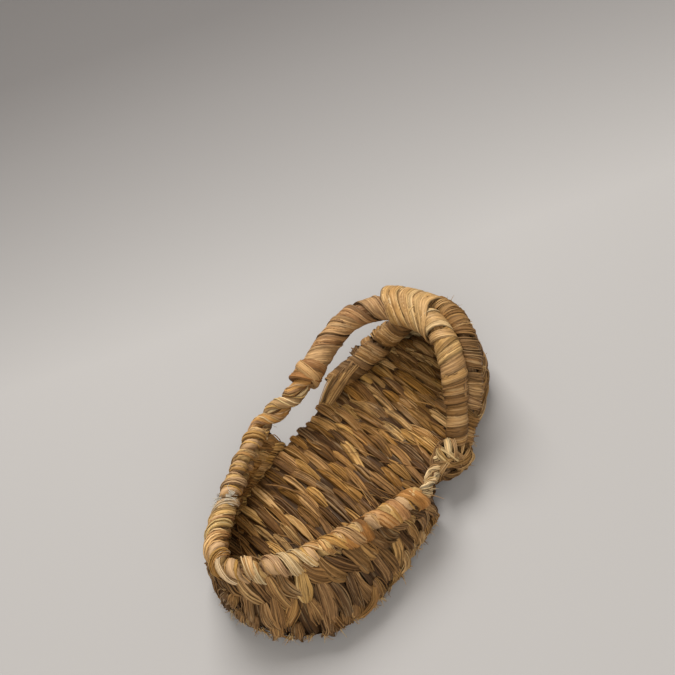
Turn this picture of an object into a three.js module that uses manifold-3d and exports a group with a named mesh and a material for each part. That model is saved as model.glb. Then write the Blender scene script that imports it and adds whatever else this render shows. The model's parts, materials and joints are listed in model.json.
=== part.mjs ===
// A small straw sandal, in millimetres.
// +Z is up, the toe points to -Y and the sole stands on z = 0.
import * as THREE from 'three';
import { mergeVertices } from 'three/addons/utils/BufferGeometryUtils.js';
import Module from 'manifold-3d';

const wasm = await Module();
wasm.setup();

// Driving dimensions
const CLEARANCE = 0.35;

const SOLE = {
  toeY: -65,
  ballY: -22,
  ballHalf: 31.6,
  waistStartY: -6,
  waistEndY: 10,
  waistHalf: 29.4,
  heelY: 40,
  heelHalf: 25.8,
  heelShift: -1.2,
  endY: 68,
  toeRoundness: 2.3,
  heelRoundness: 2.2,
  thickness: 8.5,
  edgeTop: 7.4,
  edgeBottom: 2.0,
  dish: 0.8,
  weftPitch: 5.2,
  weftRise: 1.1,
  archRise: 1.6,
  archStartY: -6,
  archEndY: 26,
  toeSpring: 2.4,
  toeSpringY: -48,
  heelSpring: 1.6,
  heelSpringY: 56,
};

const WALL = {
  thickness: 3.6,
  stripRise: 1.1,
  footZ: 1.2,
  leanStartZ: 10.5,
  bulge: 0.9,
  bulgeShare: 0.6,
};

const TOE_WALL = { footEndY: -6, strands: 34, lean: 1.4 };
const RIM = {
  tipX: -4.5,
  tipY: -65,
  endY: -9,
  leftEndHalf: 36.6,
  rightEndHalf: 34.4,
  tipZ: 34,
  endZ: 22,
  spread: 1.08,
  drop: 1.5,
  radius: 3.3,
  lump: 0.35,
  lumpPitch: 8,
  steps: 60,
  sides: 10,
};
// Slits between neighbouring strands: first place along the wall, half width, height and depth below the edge
const SLIT = { count: 9, first: 0.075, width: 1.3, height: 8, reach: 14, drop: 7, sides: 6 };

const COUNTER = { leftStartY: 30, rightStartY: 17, strands: 20, lean: 2.2 };
// Top edge of the heel counter, from its left front end round the back to its right front end
const COUNTER_TOP = [
  { x: -28.8, y: 30.5, z: 11 },
  { x: -21.5, y: 43.5, z: 15.2 },
  { x: -14, y: 54.5, z: 21.5 },
  { x: -5, y: 58.5, z: 31.5 },
  { x: 6, y: 58.8, z: 40.2 },
  { x: 17, y: 55.5, z: 42.2 },
  { x: 26, y: 48.5, z: 36.5 },
  { x: 30.8, y: 38, z: 22.4 },
  { x: 32, y: 19.5, z: 4.6 },
];

// Middle line of the heel strap, from its left end over the heel to its right end
const STRAP_ROUTE = [
  { x: -28.8, y: 23.5, z: 30.6 },
  { x: -27.6, y: 35, z: 34 },
  { x: -22.5, y: 45, z: 38 },
  { x: -12, y: 51.5, z: 40.6 },
  { x: 0, y: 52.5, z: 41.8 },
  { x: 11, y: 50, z: 43 },
  { x: 18.5, y: 45, z: 42.6 },
  { x: 24, y: 40, z: 38.5 },
  { x: 28, y: 34, z: 30.5 },
  { x: 31.2, y: 26.5, z: 21 },
  { x: 32.7, y: 21.2, z: 14.4 },
];
const STRAP = { radius: 4.2, wrapRise: 0.25, wrapPitch: 8, steps: 44, sides: 10 };

// Stretch of the strap under the binding, and the binding's oval section behind and below the strap
const BINDING = {
  start: 0.351,
  end: 0.513,
  halfWidth: 8.6,
  halfHeight: 6.2,
  back: 3,
  drop: 0.8,
  steps: 10,
  sides: 16,
};

const KNOT = { radius: 5, waist: 3.4, steps: 8, sides: 10 };
const LEFT_KNOT_ROUTE = [
  { x: -28.9, y: 22.8, z: 30.4 },
  { x: -29.3, y: 19.2, z: 29.3 },
  { x: -29.8, y: 15.2, z: 28 },
];
const RIGHT_KNOT_ROUTE = [
  { x: 33.3, y: 18.9, z: 11.6 },
  { x: 32.8, y: 13.8, z: 12.9 },
  { x: 32.4, y: 8.8, z: 14.7 },
];

// Each tie cord runs on from a knot into the end of the rim cord
const TIE = { leftRadius: 3.6, rightRadius: 2.2, lump: 0.3, lumpPitch: 6, run: 4, steps: 14, sides: 8 };

const COLOURS = {
  sole: 0xa9814f,
  toe_wall: 0xa67c47,
  toe_rim_cord: 0xb88a50,
  heel_counter: 0x9c7543,
  heel_strap: 0xc0955a,
  strap_binding: 0xc9a267,
  strap_knot_left: 0xb57f48,
  strap_knot_right: 0xa98149,
  tie_cord_left: 0xb18c52,
  tie_cord_right: 0xbf9a58,
};

// Helpers for curves and closed meshes

const UP = new THREE.Vector3(0, 0, 1);
const vector = (row) => new THREE.Vector3(row.x, row.y, row.z);
const smooth = (x) => THREE.MathUtils.smoothstep(x, 0, 1);
const route = (rows) => new THREE.CatmullRomCurve3(rows.map(vector));

function geometryFrom(points, faces) {
  const geometry = new THREE.BufferGeometry();
  const places = points.flatMap((p) => [p.x, p.y, p.z]);
  geometry.setAttribute('position', new THREE.Float32BufferAttribute(places, 3));
  geometry.setIndex(faces);
  geometry.computeVertexNormals();
  return geometry;
}

// A closed slab between two sheets that share one grid, with its rim faces
function slab(columns, rows, front, back) {
  const points = [];
  const faces = [];
  for (const sheet of [front, back]) {
    for (let i = 0; i <= columns; i += 1) {
      for (let j = 0; j <= rows; j += 1) points.push(sheet(i, j));
    }
  }
  const size = (columns + 1) * (rows + 1);
  const at = (sheet, i, j) => sheet * size + i * (rows + 1) + j;
  const quad = (a, b, c, d) => faces.push(a, b, c, a, c, d);
  for (let i = 0; i < columns; i += 1) {
    for (let j = 0; j < rows; j += 1) {
      quad(at(0, i, j), at(0, i + 1, j), at(0, i + 1, j + 1), at(0, i, j + 1));
      quad(at(1, i, j), at(1, i, j + 1), at(1, i + 1, j + 1), at(1, i + 1, j));
    }
    quad(at(0, i, 0), at(1, i, 0), at(1, i + 1, 0), at(0, i + 1, 0));
    quad(at(0, i, rows), at(0, i + 1, rows), at(1, i + 1, rows), at(1, i, rows));
  }
  for (let j = 0; j < rows; j += 1) {
    quad(at(0, 0, j), at(0, 0, j + 1), at(1, 0, j + 1), at(1, 0, j));
    quad(at(0, columns, j), at(1, columns, j), at(1, columns, j + 1), at(0, columns, j + 1));
  }
  return geometryFrom(points, faces);
}

// A closed rod along a curve, whose section is given by the share of its length and the angle round it
function rod(curve, steps, sides, section, start = 0, end = 1) {
  const points = [];
  const faces = [];
  for (let i = 0; i <= steps; i += 1) {
    const along = THREE.MathUtils.lerp(start, end, i / steps);
    const centre = curve.getPointAt(along);
    const tangent = curve.getTangentAt(along);
    const sideways = UP.clone().cross(tangent).normalize();
    const upright = tangent.clone().cross(sideways);
    for (let k = 0; k < sides; k += 1) {
      const { across, up } = section(along, (2 * Math.PI * k) / sides);
      points.push(centre.clone().addScaledVector(sideways, across).addScaledVector(upright, up));
    }
  }
  for (let i = 0; i < steps; i += 1) {
    for (let k = 0; k < sides; k += 1) {
      const next = (k + 1) % sides;
      const a = i * sides + k;
      const b = i * sides + next;
      faces.push(a, b, b + sides, a, b + sides, a + sides);
    }
  }
  const last = steps * sides;
  for (let k = 1; k < sides - 1; k += 1) {
    faces.push(0, k + 1, k);
    faces.push(last, last + k, last + k + 1);
  }
  return geometryFrom(points, faces);
}

const round = (radius, angle) => ({ across: radius * Math.cos(angle), up: radius * Math.sin(angle) });

function toSolid(geometry) {
  const vertProperties = new Float32Array(geometry.attributes.position.array);
  const triVerts = new Uint32Array(geometry.index.array);
  return new wasm.Manifold(new wasm.Mesh({ numProp: 3, vertProperties, triVerts }));
}

function toGeometry(solid) {
  const mesh = solid.getMesh();
  const geometry = new THREE.BufferGeometry();
  geometry.setAttribute('position', new THREE.Float32BufferAttribute(mesh.vertProperties, mesh.numProp));
  geometry.setIndex(new THREE.Uint32BufferAttribute(mesh.triVerts, 1));
  geometry.computeVertexNormals();
  return geometry;
}

// Sole

function soleHalf(y) {
  if (y < SOLE.ballY) {
    const reach = Math.min((SOLE.ballY - y) / (SOLE.ballY - SOLE.toeY), 1);
    return SOLE.ballHalf * (1 - reach ** SOLE.toeRoundness) ** (1 / SOLE.toeRoundness);
  }
  const toWaist = smooth((y - SOLE.waistStartY) / (SOLE.waistEndY - SOLE.waistStartY));
  const toHeel = smooth((y - SOLE.waistEndY) / (SOLE.heelY - SOLE.waistEndY));
  const waist = THREE.MathUtils.lerp(SOLE.ballHalf, SOLE.waistHalf, toWaist);
  const half = THREE.MathUtils.lerp(waist, SOLE.heelHalf, toHeel);
  if (y < SOLE.heelY) return half;
  const reach = Math.min((y - SOLE.heelY) / (SOLE.endY - SOLE.heelY), 1);
  return half * (1 - reach ** SOLE.heelRoundness) ** (1 / SOLE.heelRoundness);
}

// The heel sits a little to the left of the toe half's middle line
function soleMiddle(y) {
  return SOLE.heelShift * smooth((y - SOLE.waistEndY) / (SOLE.heelY - SOLE.waistEndY));
}

const soleX = (y, across) => soleMiddle(y) + across * soleHalf(y);

// One side of the sole's outline, from the tip of the toe to the back of the heel
function soleOutline(side) {
  const arcSteps = 18;
  const sideSteps = 20;
  const points = [];
  for (let i = 0; i < arcSteps; i += 1) {
    const reach = Math.cos((Math.PI / 2) * (i / arcSteps)) ** (2 / SOLE.toeRoundness);
    const y = SOLE.ballY - (SOLE.ballY - SOLE.toeY) * reach;
    points.push(new THREE.Vector2(soleX(y, side), y));
  }
  for (let i = 0; i < sideSteps; i += 1) {
    const y = THREE.MathUtils.lerp(SOLE.ballY, SOLE.heelY, i / sideSteps);
    points.push(new THREE.Vector2(soleX(y, side), y));
  }
  for (let i = 0; i <= arcSteps; i += 1) {
    const reach = Math.sin((Math.PI / 2) * (i / arcSteps)) ** (2 / SOLE.heelRoundness);
    const y = SOLE.heelY + (SOLE.endY - SOLE.heelY) * reach;
    points.push(new THREE.Vector2(soleX(y, side), y));
  }
  return points;
}

function soleLift(y) {
  const span = SOLE.archEndY - SOLE.archStartY;
  const along = THREE.MathUtils.clamp((y - SOLE.archStartY) / span, 0, 1);
  const arch = SOLE.archRise * Math.sin(Math.PI * along) ** 2;
  const toe = Math.max(0, (SOLE.toeSpringY - y) / (SOLE.toeSpringY - SOLE.toeY));
  const heel = Math.max(0, (y - SOLE.heelSpringY) / (SOLE.endY - SOLE.heelSpringY));
  return arch + SOLE.toeSpring * toe ** 2 + SOLE.heelSpring * heel ** 2;
}

// A mat of crosswise weft strips, flat underfoot at the ball and the heel
function makeSole() {
  const across = [-1, -0.92, -0.5, 0, 0.5, 0.92, 1];
  const tipInset = 0.06;
  const strips = Math.round((SOLE.endY - SOLE.toeY) / SOLE.weftPitch);
  const perStrip = 3;
  const rows = strips * perStrip;
  const rowY = (i) => THREE.MathUtils.lerp(SOLE.toeY + tipInset, SOLE.endY - tipInset, i / rows);
  const rise = (i) => (i % perStrip === 0 ? 0 : SOLE.weftRise);
  const edge = (j) => j === 0 || j === across.length - 1;
  const top = (i, j) => {
    const y = rowY(i);
    const crown = SOLE.thickness + SOLE.dish * across[j] ** 2 + rise(i);
    return new THREE.Vector3(soleX(y, across[j]), y, edge(j) ? SOLE.edgeTop : crown);
  };
  const bottom = (i, j) => {
    const y = rowY(i);
    return new THREE.Vector3(soleX(y, across[j]), y, soleLift(y) + (edge(j) ? SOLE.edgeBottom : 0));
  };
  return slab(rows, across.length - 1, bottom, top);
}

// Walls of upright strands that start at the sole's edge

// The part of the sole's outline that a wall stands against, from its left end to its right end
function footCurve(onLeft, onRight, fromToe) {
  const left = soleOutline(-1).filter(onLeft);
  const right = soleOutline(1).filter(onRight);
  const points = fromToe ? [...left.reverse(), ...right.slice(1)] : [...left, ...right.reverse().slice(1)];
  return new THREE.SplineCurve(points);
}

function outwardAt(foot, along, turn) {
  const tangent = foot.getTangentAt(along);
  return new THREE.Vector3(turn * tangent.y, -turn * tangent.x, 0).normalize();
}

// Middle of a wall at a place along it and a share of its height, and how far its outside swells there
function wallMiddle(wall, along, share) {
  const foot = wall.foot.getPointAt(along);
  const outward = outwardAt(wall.foot, along, wall.turn);
  const top = wall.top(along);
  const z = THREE.MathUtils.lerp(WALL.footZ, top.z, share);
  const leanShare = top.z > WALL.leanStartZ ? (z - WALL.leanStartZ) / (top.z - WALL.leanStartZ) : 0;
  const lean = Math.max(0, leanShare) ** wall.lean;
  const stand = CLEARANCE + WALL.thickness / 2;
  const swell = WALL.bulge * Math.sin(Math.PI * Math.min(share / WALL.bulgeShare, 1));
  const point = new THREE.Vector3(foot.x, foot.y, z).addScaledVector(outward, stand);
  const leanBy = new THREE.Vector3(top.x - point.x, top.y - point.y, 0).multiplyScalar(lean);
  return { point: point.add(leanBy), swell };
}

// Direction out of a wall's face
function wallNormal(wall, along, share) {
  const step = 0.01;
  const before = wallMiddle(wall, Math.max(along - step, 0), share).point;
  const after = wallMiddle(wall, Math.min(along + step, 1), share).point;
  const below = wallMiddle(wall, along, Math.max(share - step, 0)).point;
  const above = wallMiddle(wall, along, share + step).point;
  return after.sub(before).cross(above.sub(below)).multiplyScalar(wall.turn).normalize();
}

// A wall with its strands raised on the outside up to its top edge, or grown all round by a margin
function makeWall(wall, grow = 0) {
  const perStrand = 3;
  const columns = wall.strands * perStrand;
  const shares = [0, 0.16, 0.38, 0.62, 0.84, 1];
  const place = (i, j, out) => {
    const along = i / columns;
    const share = shares[j] * (wall.height(along) + grow / wall.top(along).z);
    const { point, swell } = wallMiddle(wall, along, share);
    const normal = wallNormal(wall, along, share);
    return point.addScaledVector(normal, out(swell));
  };
  const top = shares.length - 1;
  const ends = (j) => j === top && grow === 0;
  const strip = (i, j) => (i % perStrand === 0 || ends(j) ? 0 : WALL.stripRise);
  const half = WALL.thickness / 2 + grow;
  const outer = (i, j) => place(i, j, (swell) => half + swell + strip(i, j));
  const inner = (i, j) => place(i, j, () => -half);
  return wall.turn > 0 ? slab(columns, top, outer, inner) : slab(columns, top, inner, outer);
}

// Toe wall and its rim cord

function rimRoute() {
  const steps = 12;
  const points = [];
  for (let i = -steps; i <= steps; i += 1) {
    const reach = Math.abs(i) / steps;
    const half = (i < 0 ? RIM.leftEndHalf : RIM.rightEndHalf) * reach ** RIM.spread;
    const x = RIM.tipX * (1 - reach) + Math.sign(i) * half;
    const y = RIM.tipY + (RIM.endY - RIM.tipY) * reach ** 2;
    const z = RIM.tipZ - (RIM.tipZ - RIM.endZ) * reach ** RIM.drop;
    points.push(new THREE.Vector3(x, y, z));
  }
  return new THREE.CatmullRomCurve3(points);
}

const rim = rimRoute();
const rimPoints = rim.getSpacedPoints(120);

const toeWall = {
  foot: footCurve((p) => p.y <= TOE_WALL.footEndY, (p) => p.y <= TOE_WALL.footEndY, true),
  turn: 1,
  top: (along) => rim.getPointAt(along),
  strands: TOE_WALL.strands,
  lean: TOE_WALL.lean,
  height: (along) => seatUnderRim(along),
};

// Share of the way up to the rim's middle line at which the wall's edge meets the cord from below
function seatUnderRim(along) {
  const seat = RIM.radius + RIM.lump + CLEARANCE;
  const faces = [-WALL.thickness / 2, 0, WALL.thickness / 2];
  let low = 0.5;
  let high = 1;
  for (let i = 0; i < 16; i += 1) {
    const share = (low + high) / 2;
    const { point } = wallMiddle(toeWall, along, share);
    const normal = wallNormal(toeWall, along, share);
    const corners = faces.map((out) => point.clone().addScaledVector(normal, out));
    const apart = Math.min(...corners.flatMap((corner) => rimPoints.map((p) => p.distanceTo(corner))));
    if (apart > seat) low = share;
    else high = share;
  }
  return low;
}

// Slits between the strands under the rim, along the left side
function makeToeWall() {
  let solid = toSolid(makeWall(toeWall));
  for (let i = 0; i < SLIT.count; i += 1) {
    const along = SLIT.first + i / TOE_WALL.strands;
    const share = toeWall.height(along) - SLIT.drop / toeWall.top(along).z;
    const slit = new THREE.CylinderGeometry(SLIT.width, SLIT.width, SLIT.reach, SLIT.sides);
    slit.deleteAttribute('normal');
    slit.deleteAttribute('uv');
    slit.scale(1, 1, SLIT.height / (2 * SLIT.width));
    const { point } = wallMiddle(toeWall, along, share);
    const normal = wallNormal(toeWall, along, share);
    const up = wallMiddle(toeWall, along, share + 0.1).point.sub(point).normalize();
    const across = new THREE.Vector3().crossVectors(normal, up);
    slit.applyMatrix4(new THREE.Matrix4().makeBasis(across, normal, up).setPosition(point));
    solid = solid.subtract(toSolid(mergeVertices(slit)));
  }
  return toGeometry(solid);
}

function lumpy(curve, radius, lump, pitch) {
  const turns = curve.getLength() / pitch;
  return (along, angle) => round(radius + lump * Math.cos(2 * angle - 2 * Math.PI * turns * along), angle);
}

// Heel counter, strap, binding, knots and tie cords

const counterTop = route(COUNTER_TOP);
const counter = {
  foot: footCurve((p) => p.y >= COUNTER.leftStartY, (p) => p.y >= COUNTER.rightStartY, false),
  turn: -1,
  top: (along) => counterTop.getPoint(along),
  strands: COUNTER.strands,
  lean: COUNTER.lean,
  height: () => 1,
};

const strap = route(STRAP_ROUTE);

function makeStrap(grow = 0) {
  const wraps = strap.getLength() / STRAP.wrapPitch;
  const radius = (along) => STRAP.radius + grow + STRAP.wrapRise * Math.sin(2 * Math.PI * wraps * along);
  return rod(strap, STRAP.steps, STRAP.sides, (along, angle) => round(radius(along), angle));
}

// Broad band over the strap and the top of the counter, hollowed by both
function makeBinding() {
  const section = (along, angle) => ({
    across: BINDING.back + BINDING.halfWidth * Math.cos(angle),
    up: BINDING.halfHeight * Math.sin(angle) - BINDING.drop,
  });
  const band = toSolid(rod(strap, BINDING.steps, BINDING.sides, section, BINDING.start, BINDING.end));
  const bored = band.subtract(toSolid(makeStrap(CLEARANCE)));
  return toGeometry(bored.subtract(toSolid(makeWall(counter, CLEARANCE))));
}

function makeKnot(rows) {
  const radius = (along) => KNOT.waist + (KNOT.radius - KNOT.waist) * Math.sin(Math.PI * along);
  return rod(route(rows), KNOT.steps, KNOT.sides, (along, angle) => round(radius(along), angle));
}

function makeTie(knotRows, rimEnd, radius) {
  const knot = route(knotRows);
  const onward = knot.getTangentAt(1);
  const away = rim.getTangentAt(rimEnd).multiplyScalar(rimEnd === 0 ? -1 : 1);
  const leaves = [CLEARANCE, TIE.run].map((reach) => knot.getPointAt(1).addScaledVector(onward, reach));
  const meets = [TIE.run, CLEARANCE].map((reach) => rim.getPointAt(rimEnd).addScaledVector(away, reach));
  const curve = new THREE.CatmullRomCurve3([...leaves, ...meets]);
  return rod(curve, TIE.steps, TIE.sides, lumpy(curve, radius, TIE.lump, TIE.lumpPitch));
}

// Assembly

const PIECES = {
  sole: makeSole(),
  toe_wall: makeToeWall(),
  toe_rim_cord: rod(rim, RIM.steps, RIM.sides, lumpy(rim, RIM.radius, RIM.lump, RIM.lumpPitch)),
  heel_counter: makeWall(counter),
  heel_strap: makeStrap(),
  strap_binding: makeBinding(),
  strap_knot_left: makeKnot(LEFT_KNOT_ROUTE),
  strap_knot_right: makeKnot(RIGHT_KNOT_ROUTE),
  tie_cord_left: makeTie(LEFT_KNOT_ROUTE, 0, TIE.leftRadius),
  tie_cord_right: makeTie(RIGHT_KNOT_ROUTE, 1, TIE.rightRadius),
};

const sandal = new THREE.Group();
for (const [name, geometry] of Object.entries(PIECES)) {
  const material = new THREE.MeshStandardMaterial({ color: COLOURS[name], roughness: 0.85, metalness: 0 });
  const mesh = new THREE.Mesh(geometry, material);
  mesh.name = name;
  sandal.add(mesh);
}

// The origin is at the bottom, in the middle of the length and the width
const box = new THREE.Box3().setFromObject(sandal);
sandal.position.set(-(box.min.x + box.max.x) / 2, -(box.min.y + box.max.y) / 2, -box.min.z);

export default sandal;
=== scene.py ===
"""A small straw sandal: a woven sole, a fenced toe, a low heel counter and a wrapped heel strap.

Sizes are millimetres in the sandal's own frame, with the toe towards -Y and the sole on z = 0.
They become metres in the finished meshes.
"""
import json
import logging
import math
from dataclasses import dataclass, field, replace
from enum import Enum
from typing import Any, Callable, Iterator

import bpy
import numpy as np
from mathutils import Matrix, Vector

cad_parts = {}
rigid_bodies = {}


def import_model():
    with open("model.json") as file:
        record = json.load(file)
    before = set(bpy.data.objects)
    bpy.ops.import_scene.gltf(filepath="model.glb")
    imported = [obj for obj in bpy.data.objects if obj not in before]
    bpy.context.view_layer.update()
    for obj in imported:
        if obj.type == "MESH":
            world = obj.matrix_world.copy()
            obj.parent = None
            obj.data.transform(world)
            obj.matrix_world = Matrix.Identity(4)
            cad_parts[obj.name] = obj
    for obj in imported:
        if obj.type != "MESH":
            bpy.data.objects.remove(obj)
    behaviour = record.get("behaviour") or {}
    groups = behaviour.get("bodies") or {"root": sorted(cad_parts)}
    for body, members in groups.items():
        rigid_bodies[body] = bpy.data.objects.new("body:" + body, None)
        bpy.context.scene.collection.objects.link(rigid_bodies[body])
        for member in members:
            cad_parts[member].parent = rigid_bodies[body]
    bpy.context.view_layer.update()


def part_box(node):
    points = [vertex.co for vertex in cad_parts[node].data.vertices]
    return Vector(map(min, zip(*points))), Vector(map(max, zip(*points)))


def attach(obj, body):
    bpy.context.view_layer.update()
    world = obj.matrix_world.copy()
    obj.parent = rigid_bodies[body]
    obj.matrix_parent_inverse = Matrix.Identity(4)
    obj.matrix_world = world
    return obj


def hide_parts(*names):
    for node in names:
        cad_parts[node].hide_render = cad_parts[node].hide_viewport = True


LOG = logging.getLogger("straw_sandal")
MM = 0.001
UP = np.array([0.0, 0.0, 1.0])
Array = np.ndarray
Source = bpy.types.Node | bpy.types.NodeSocket
Tree = bpy.types.NodeTree
Span = tuple[float, float]


# Small helpers

def smooth(x: Array | float) -> Array:
    """Returns the smooth step of x between 0 and 1."""
    x = np.clip(x, 0.0, 1.0)
    return x * x * (3.0 - 2.0 * x)


def arc(share: Any) -> Any:
    """Returns half a wave, which is 0 at shares 0 and 1 and 1 in the middle."""
    return np.sin(math.pi * share)


def between(span: tuple[Any, Any], share: Any) -> Any:
    """Returns the values at shares of the way along a span."""
    return span[0] + (span[1] - span[0]) * share


def turned(first: Array, second: Array, angle: Array) -> Array:
    """Returns directions turned from the first towards the second, by an angle at each point."""
    return first * np.cos(angle)[:, None] + second * np.sin(angle)[:, None]


def unit(rows: Array) -> Array:
    """Returns the rows scaled to length one."""
    return rows / np.maximum(np.linalg.norm(rows, axis=-1, keepdims=True), 1e-9)


def read_rows(place: Any, order: Array, rows: Array) -> Array:
    """Returns rows read at places between them, where order holds each row's own place."""
    return np.stack([np.interp(place, order, column) for column in rows.T], axis=-1)


def carried_on(rows: Array, share: Array) -> Array:
    """Reads rows at shares of their count.

    Args:
        rows: The rows.
        share: The shares, where more than 1 carries the rows straight on past the last one.

    Returns:
        The rows at those shares.
    """
    last = len(rows) - 1
    inside = read_rows(np.clip(share, 0, 1) * last, np.arange(len(rows)), rows)
    return inside + np.maximum(share - 1, 0)[:, None] * (rows[-1] - rows[-2]) * last


def linear(hex_colour: str) -> tuple[float, float, float, float]:
    """Turns an sRGB hex colour into linear values.

    Args:
        hex_colour: Six hex digits with a leading hash.

    Returns:
        Red, green, blue and alpha as the shaders take them.
    """
    parts = [int(hex_colour[i:i + 2], 16) / 255 for i in (1, 3, 5)]
    values = [c / 12.92 if c <= 0.04045 else ((c + 0.055) / 1.055) ** 2.4 for c in parts]
    return values[0], values[1], values[2], 1.0


def add_node(tree: Tree, kind: str, inputs: dict | None = None, **settings: Any) -> bpy.types.Node:
    """Adds a node with its settings, values and links.

    Args:
        tree: The node tree that gets the node.
        kind: Blender's name for the node type.
        inputs: Values, or sockets and nodes to link, by input name or index. A node gives its first output.
        **settings: Properties of the node itself.

    Returns:
        The new node.
    """
    node = tree.nodes.new(kind)
    for key, value in settings.items():
        setattr(node, key, value)
    for key, value in (inputs or {}).items():
        if isinstance(value, bpy.types.Node):
            value = next(output for output in value.outputs if output.enabled)
        if isinstance(value, bpy.types.NodeSocket):
            tree.links.new(value, node.inputs[key])
        else:
            node.inputs[key].default_value = value
    return node


# Shape of the sandal

class Path:
    """A smooth curve through a few points, read by the share of its length or by its points."""

    # How far a tangent looks ahead and back, as a share of the length
    LOOK = 0.004

    def __init__(self, rows: Any, per_span: int = 32) -> None:
        """Samples a centripetal curve through the rows.

        Args:
            rows: The points that the curve passes through.
            per_span: Samples between two of them.
        """
        points = np.asarray(rows, float)
        ends = np.vstack([2 * points[0] - points[1], points, 2 * points[-1] - points[-2]])
        t = np.linspace(0, 1, per_span, endpoint=False)[:, None]
        spans = []
        for p0, p1, p2, p3 in zip(ends, ends[1:], ends[2:], ends[3:]):
            d0, d1, d2 = (math.sqrt(np.linalg.norm(b - a)) for a, b in ((p0, p1), (p1, p2), (p2, p3)))
            m1 = d1 * ((p1 - p0) / d0 - (p2 - p0) / (d0 + d1) + (p2 - p1) / d1)
            m2 = d1 * ((p2 - p1) / d1 - (p3 - p1) / (d1 + d2) + (p3 - p2) / d2)
            cubic = (2 * p1 - 2 * p2 + m1 + m2) * t ** 3 + (3 * p2 - 3 * p1 - 2 * m1 - m2) * t ** 2
            spans.append(cubic + m1 * t + p1)
        self.dense = np.vstack([*spans, points[-1:]])
        steps = np.linalg.norm(np.diff(self.dense, axis=0), axis=1)
        self.length = float(steps.sum())
        self.reach = np.concatenate([[0.0], np.cumsum(steps)]) / self.length

    def at(self, share: Any) -> Array:
        """Returns the points at shares of the length."""
        return read_rows(np.clip(np.asarray(share, float), 0, 1), self.reach, self.dense)

    def by_point(self, share: Any) -> Array:
        """Returns the points at shares of the count of rows."""
        last = len(self.dense) - 1
        return read_rows(np.clip(np.asarray(share, float), 0, 1) * last, np.arange(last + 1), self.dense)

    def tangent(self, share: Any) -> Array:
        """Returns the directions of the curve at shares of the length."""
        share = np.asarray(share, float)
        return unit(self.at(np.minimum(share + self.LOOK, 1)) - self.at(np.maximum(share - self.LOOK, 0)))

    def frame(self, share: Any) -> tuple[Array, Array, Array]:
        """Returns the points, the level sideways directions and the upright ones."""
        tangent = self.tangent(share)
        sideways = unit(np.cross(UP, tangent))
        return self.at(share), sideways, np.cross(tangent, sideways)


@dataclass(frozen=True)
class SoleShape:
    """Outline, dish, arch and toe spring of the sole."""

    toe_y: float = -65
    ball_y: float = -22
    ball_half: float = 31.6
    waist_start_y: float = -6
    waist_end_y: float = 10
    waist_half: float = 29.4
    heel_y: float = 40
    heel_half: float = 25.8
    heel_shift: float = -1.2
    end_y: float = 68
    toe_roundness: float = 2.3
    heel_roundness: float = 2.2
    thickness: float = 8.5
    dish: float = 0.8
    arch_rise: float = 1.6
    arch_start_y: float = -6
    arch_end_y: float = 26
    toe_spring: float = 2.4
    toe_spring_y: float = -48
    heel_spring: float = 1.6
    heel_spring_y: float = 56
    turn_points: int = 40
    flank_points: int = 60

    def half(self, y: Any) -> Array:
        """Returns half the width of the sole at y."""
        y = np.asarray(y, float)
        toe = np.clip((self.ball_y - y) / (self.ball_y - self.toe_y), 0, 1)
        front = self.ball_half * (1 - toe ** self.toe_roundness) ** (1 / self.toe_roundness)
        to_waist = smooth((y - self.waist_start_y) / (self.waist_end_y - self.waist_start_y))
        waist = self.ball_half + (self.waist_half - self.ball_half) * to_waist
        to_heel = smooth((y - self.waist_end_y) / (self.heel_y - self.waist_end_y))
        heel = np.clip((y - self.heel_y) / (self.end_y - self.heel_y), 0, 1)
        rounding = (1 - heel ** self.heel_roundness) ** (1 / self.heel_roundness)
        back = (waist + (self.heel_half - waist) * to_heel) * rounding
        return np.where(y < self.ball_y, front, back)

    def middle(self, y: Any) -> Array:
        """Returns where the sole's middle line lies at y, because the heel sits a little to the left."""
        y = np.asarray(y, float)
        return self.heel_shift * smooth((y - self.waist_end_y) / (self.heel_y - self.waist_end_y))

    def lift(self, y: Any) -> Array:
        """Returns how far the underside stands off the floor at y."""
        y = np.asarray(y, float)
        along = np.clip((y - self.arch_start_y) / (self.arch_end_y - self.arch_start_y), 0, 1)
        toe = np.maximum(0, (self.toe_spring_y - y) / (self.toe_spring_y - self.toe_y))
        heel = np.maximum(0, (y - self.heel_spring_y) / (self.end_y - self.heel_spring_y))
        arch = self.arch_rise * arc(along) ** 2
        return arch + self.toe_spring * toe ** 2 + self.heel_spring * heel ** 2

    def outline(self, side: float) -> Array:
        """Returns one side of the outline, from the tip of the toe to the back of the heel."""
        turn = np.linspace(0, math.pi / 2, self.turn_points)
        toe = self.ball_y - (self.ball_y - self.toe_y) * np.cos(turn) ** (2 / self.toe_roundness)
        flank = np.linspace(self.ball_y, self.heel_y, self.flank_points)[1:-1]
        heel = self.heel_y + (self.end_y - self.heel_y) * np.sin(turn) ** (2 / self.heel_roundness)
        y = np.concatenate([toe, flank, heel])
        return np.stack([self.middle(y) + side * self.half(y), y, np.zeros_like(y)], axis=-1)

    def foot_line(self, on_left: Span, on_right: Span, from_toe: bool) -> Path:
        """Returns the stretch of the outline that a wall stands against, from its left end to its right end.

        Args:
            on_left: Lowest and highest y of the stretch on the left side.
            on_right: The same on the right side.
            from_toe: True for a wall round the toe, False for one round the heel.

        Returns:
            The line at the wall's foot.
        """
        sides = []
        for side, (low, high) in ((-1.0, on_left), (1.0, on_right)):
            line = self.outline(side)
            sides.append(line[(line[:, 1] >= low) & (line[:, 1] <= high)])
        left, right = sides
        rows = [left[::-1], right[1:]] if from_toe else [left, right[::-1][1:]]
        return Path(np.vstack(rows), per_span=3)


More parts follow.
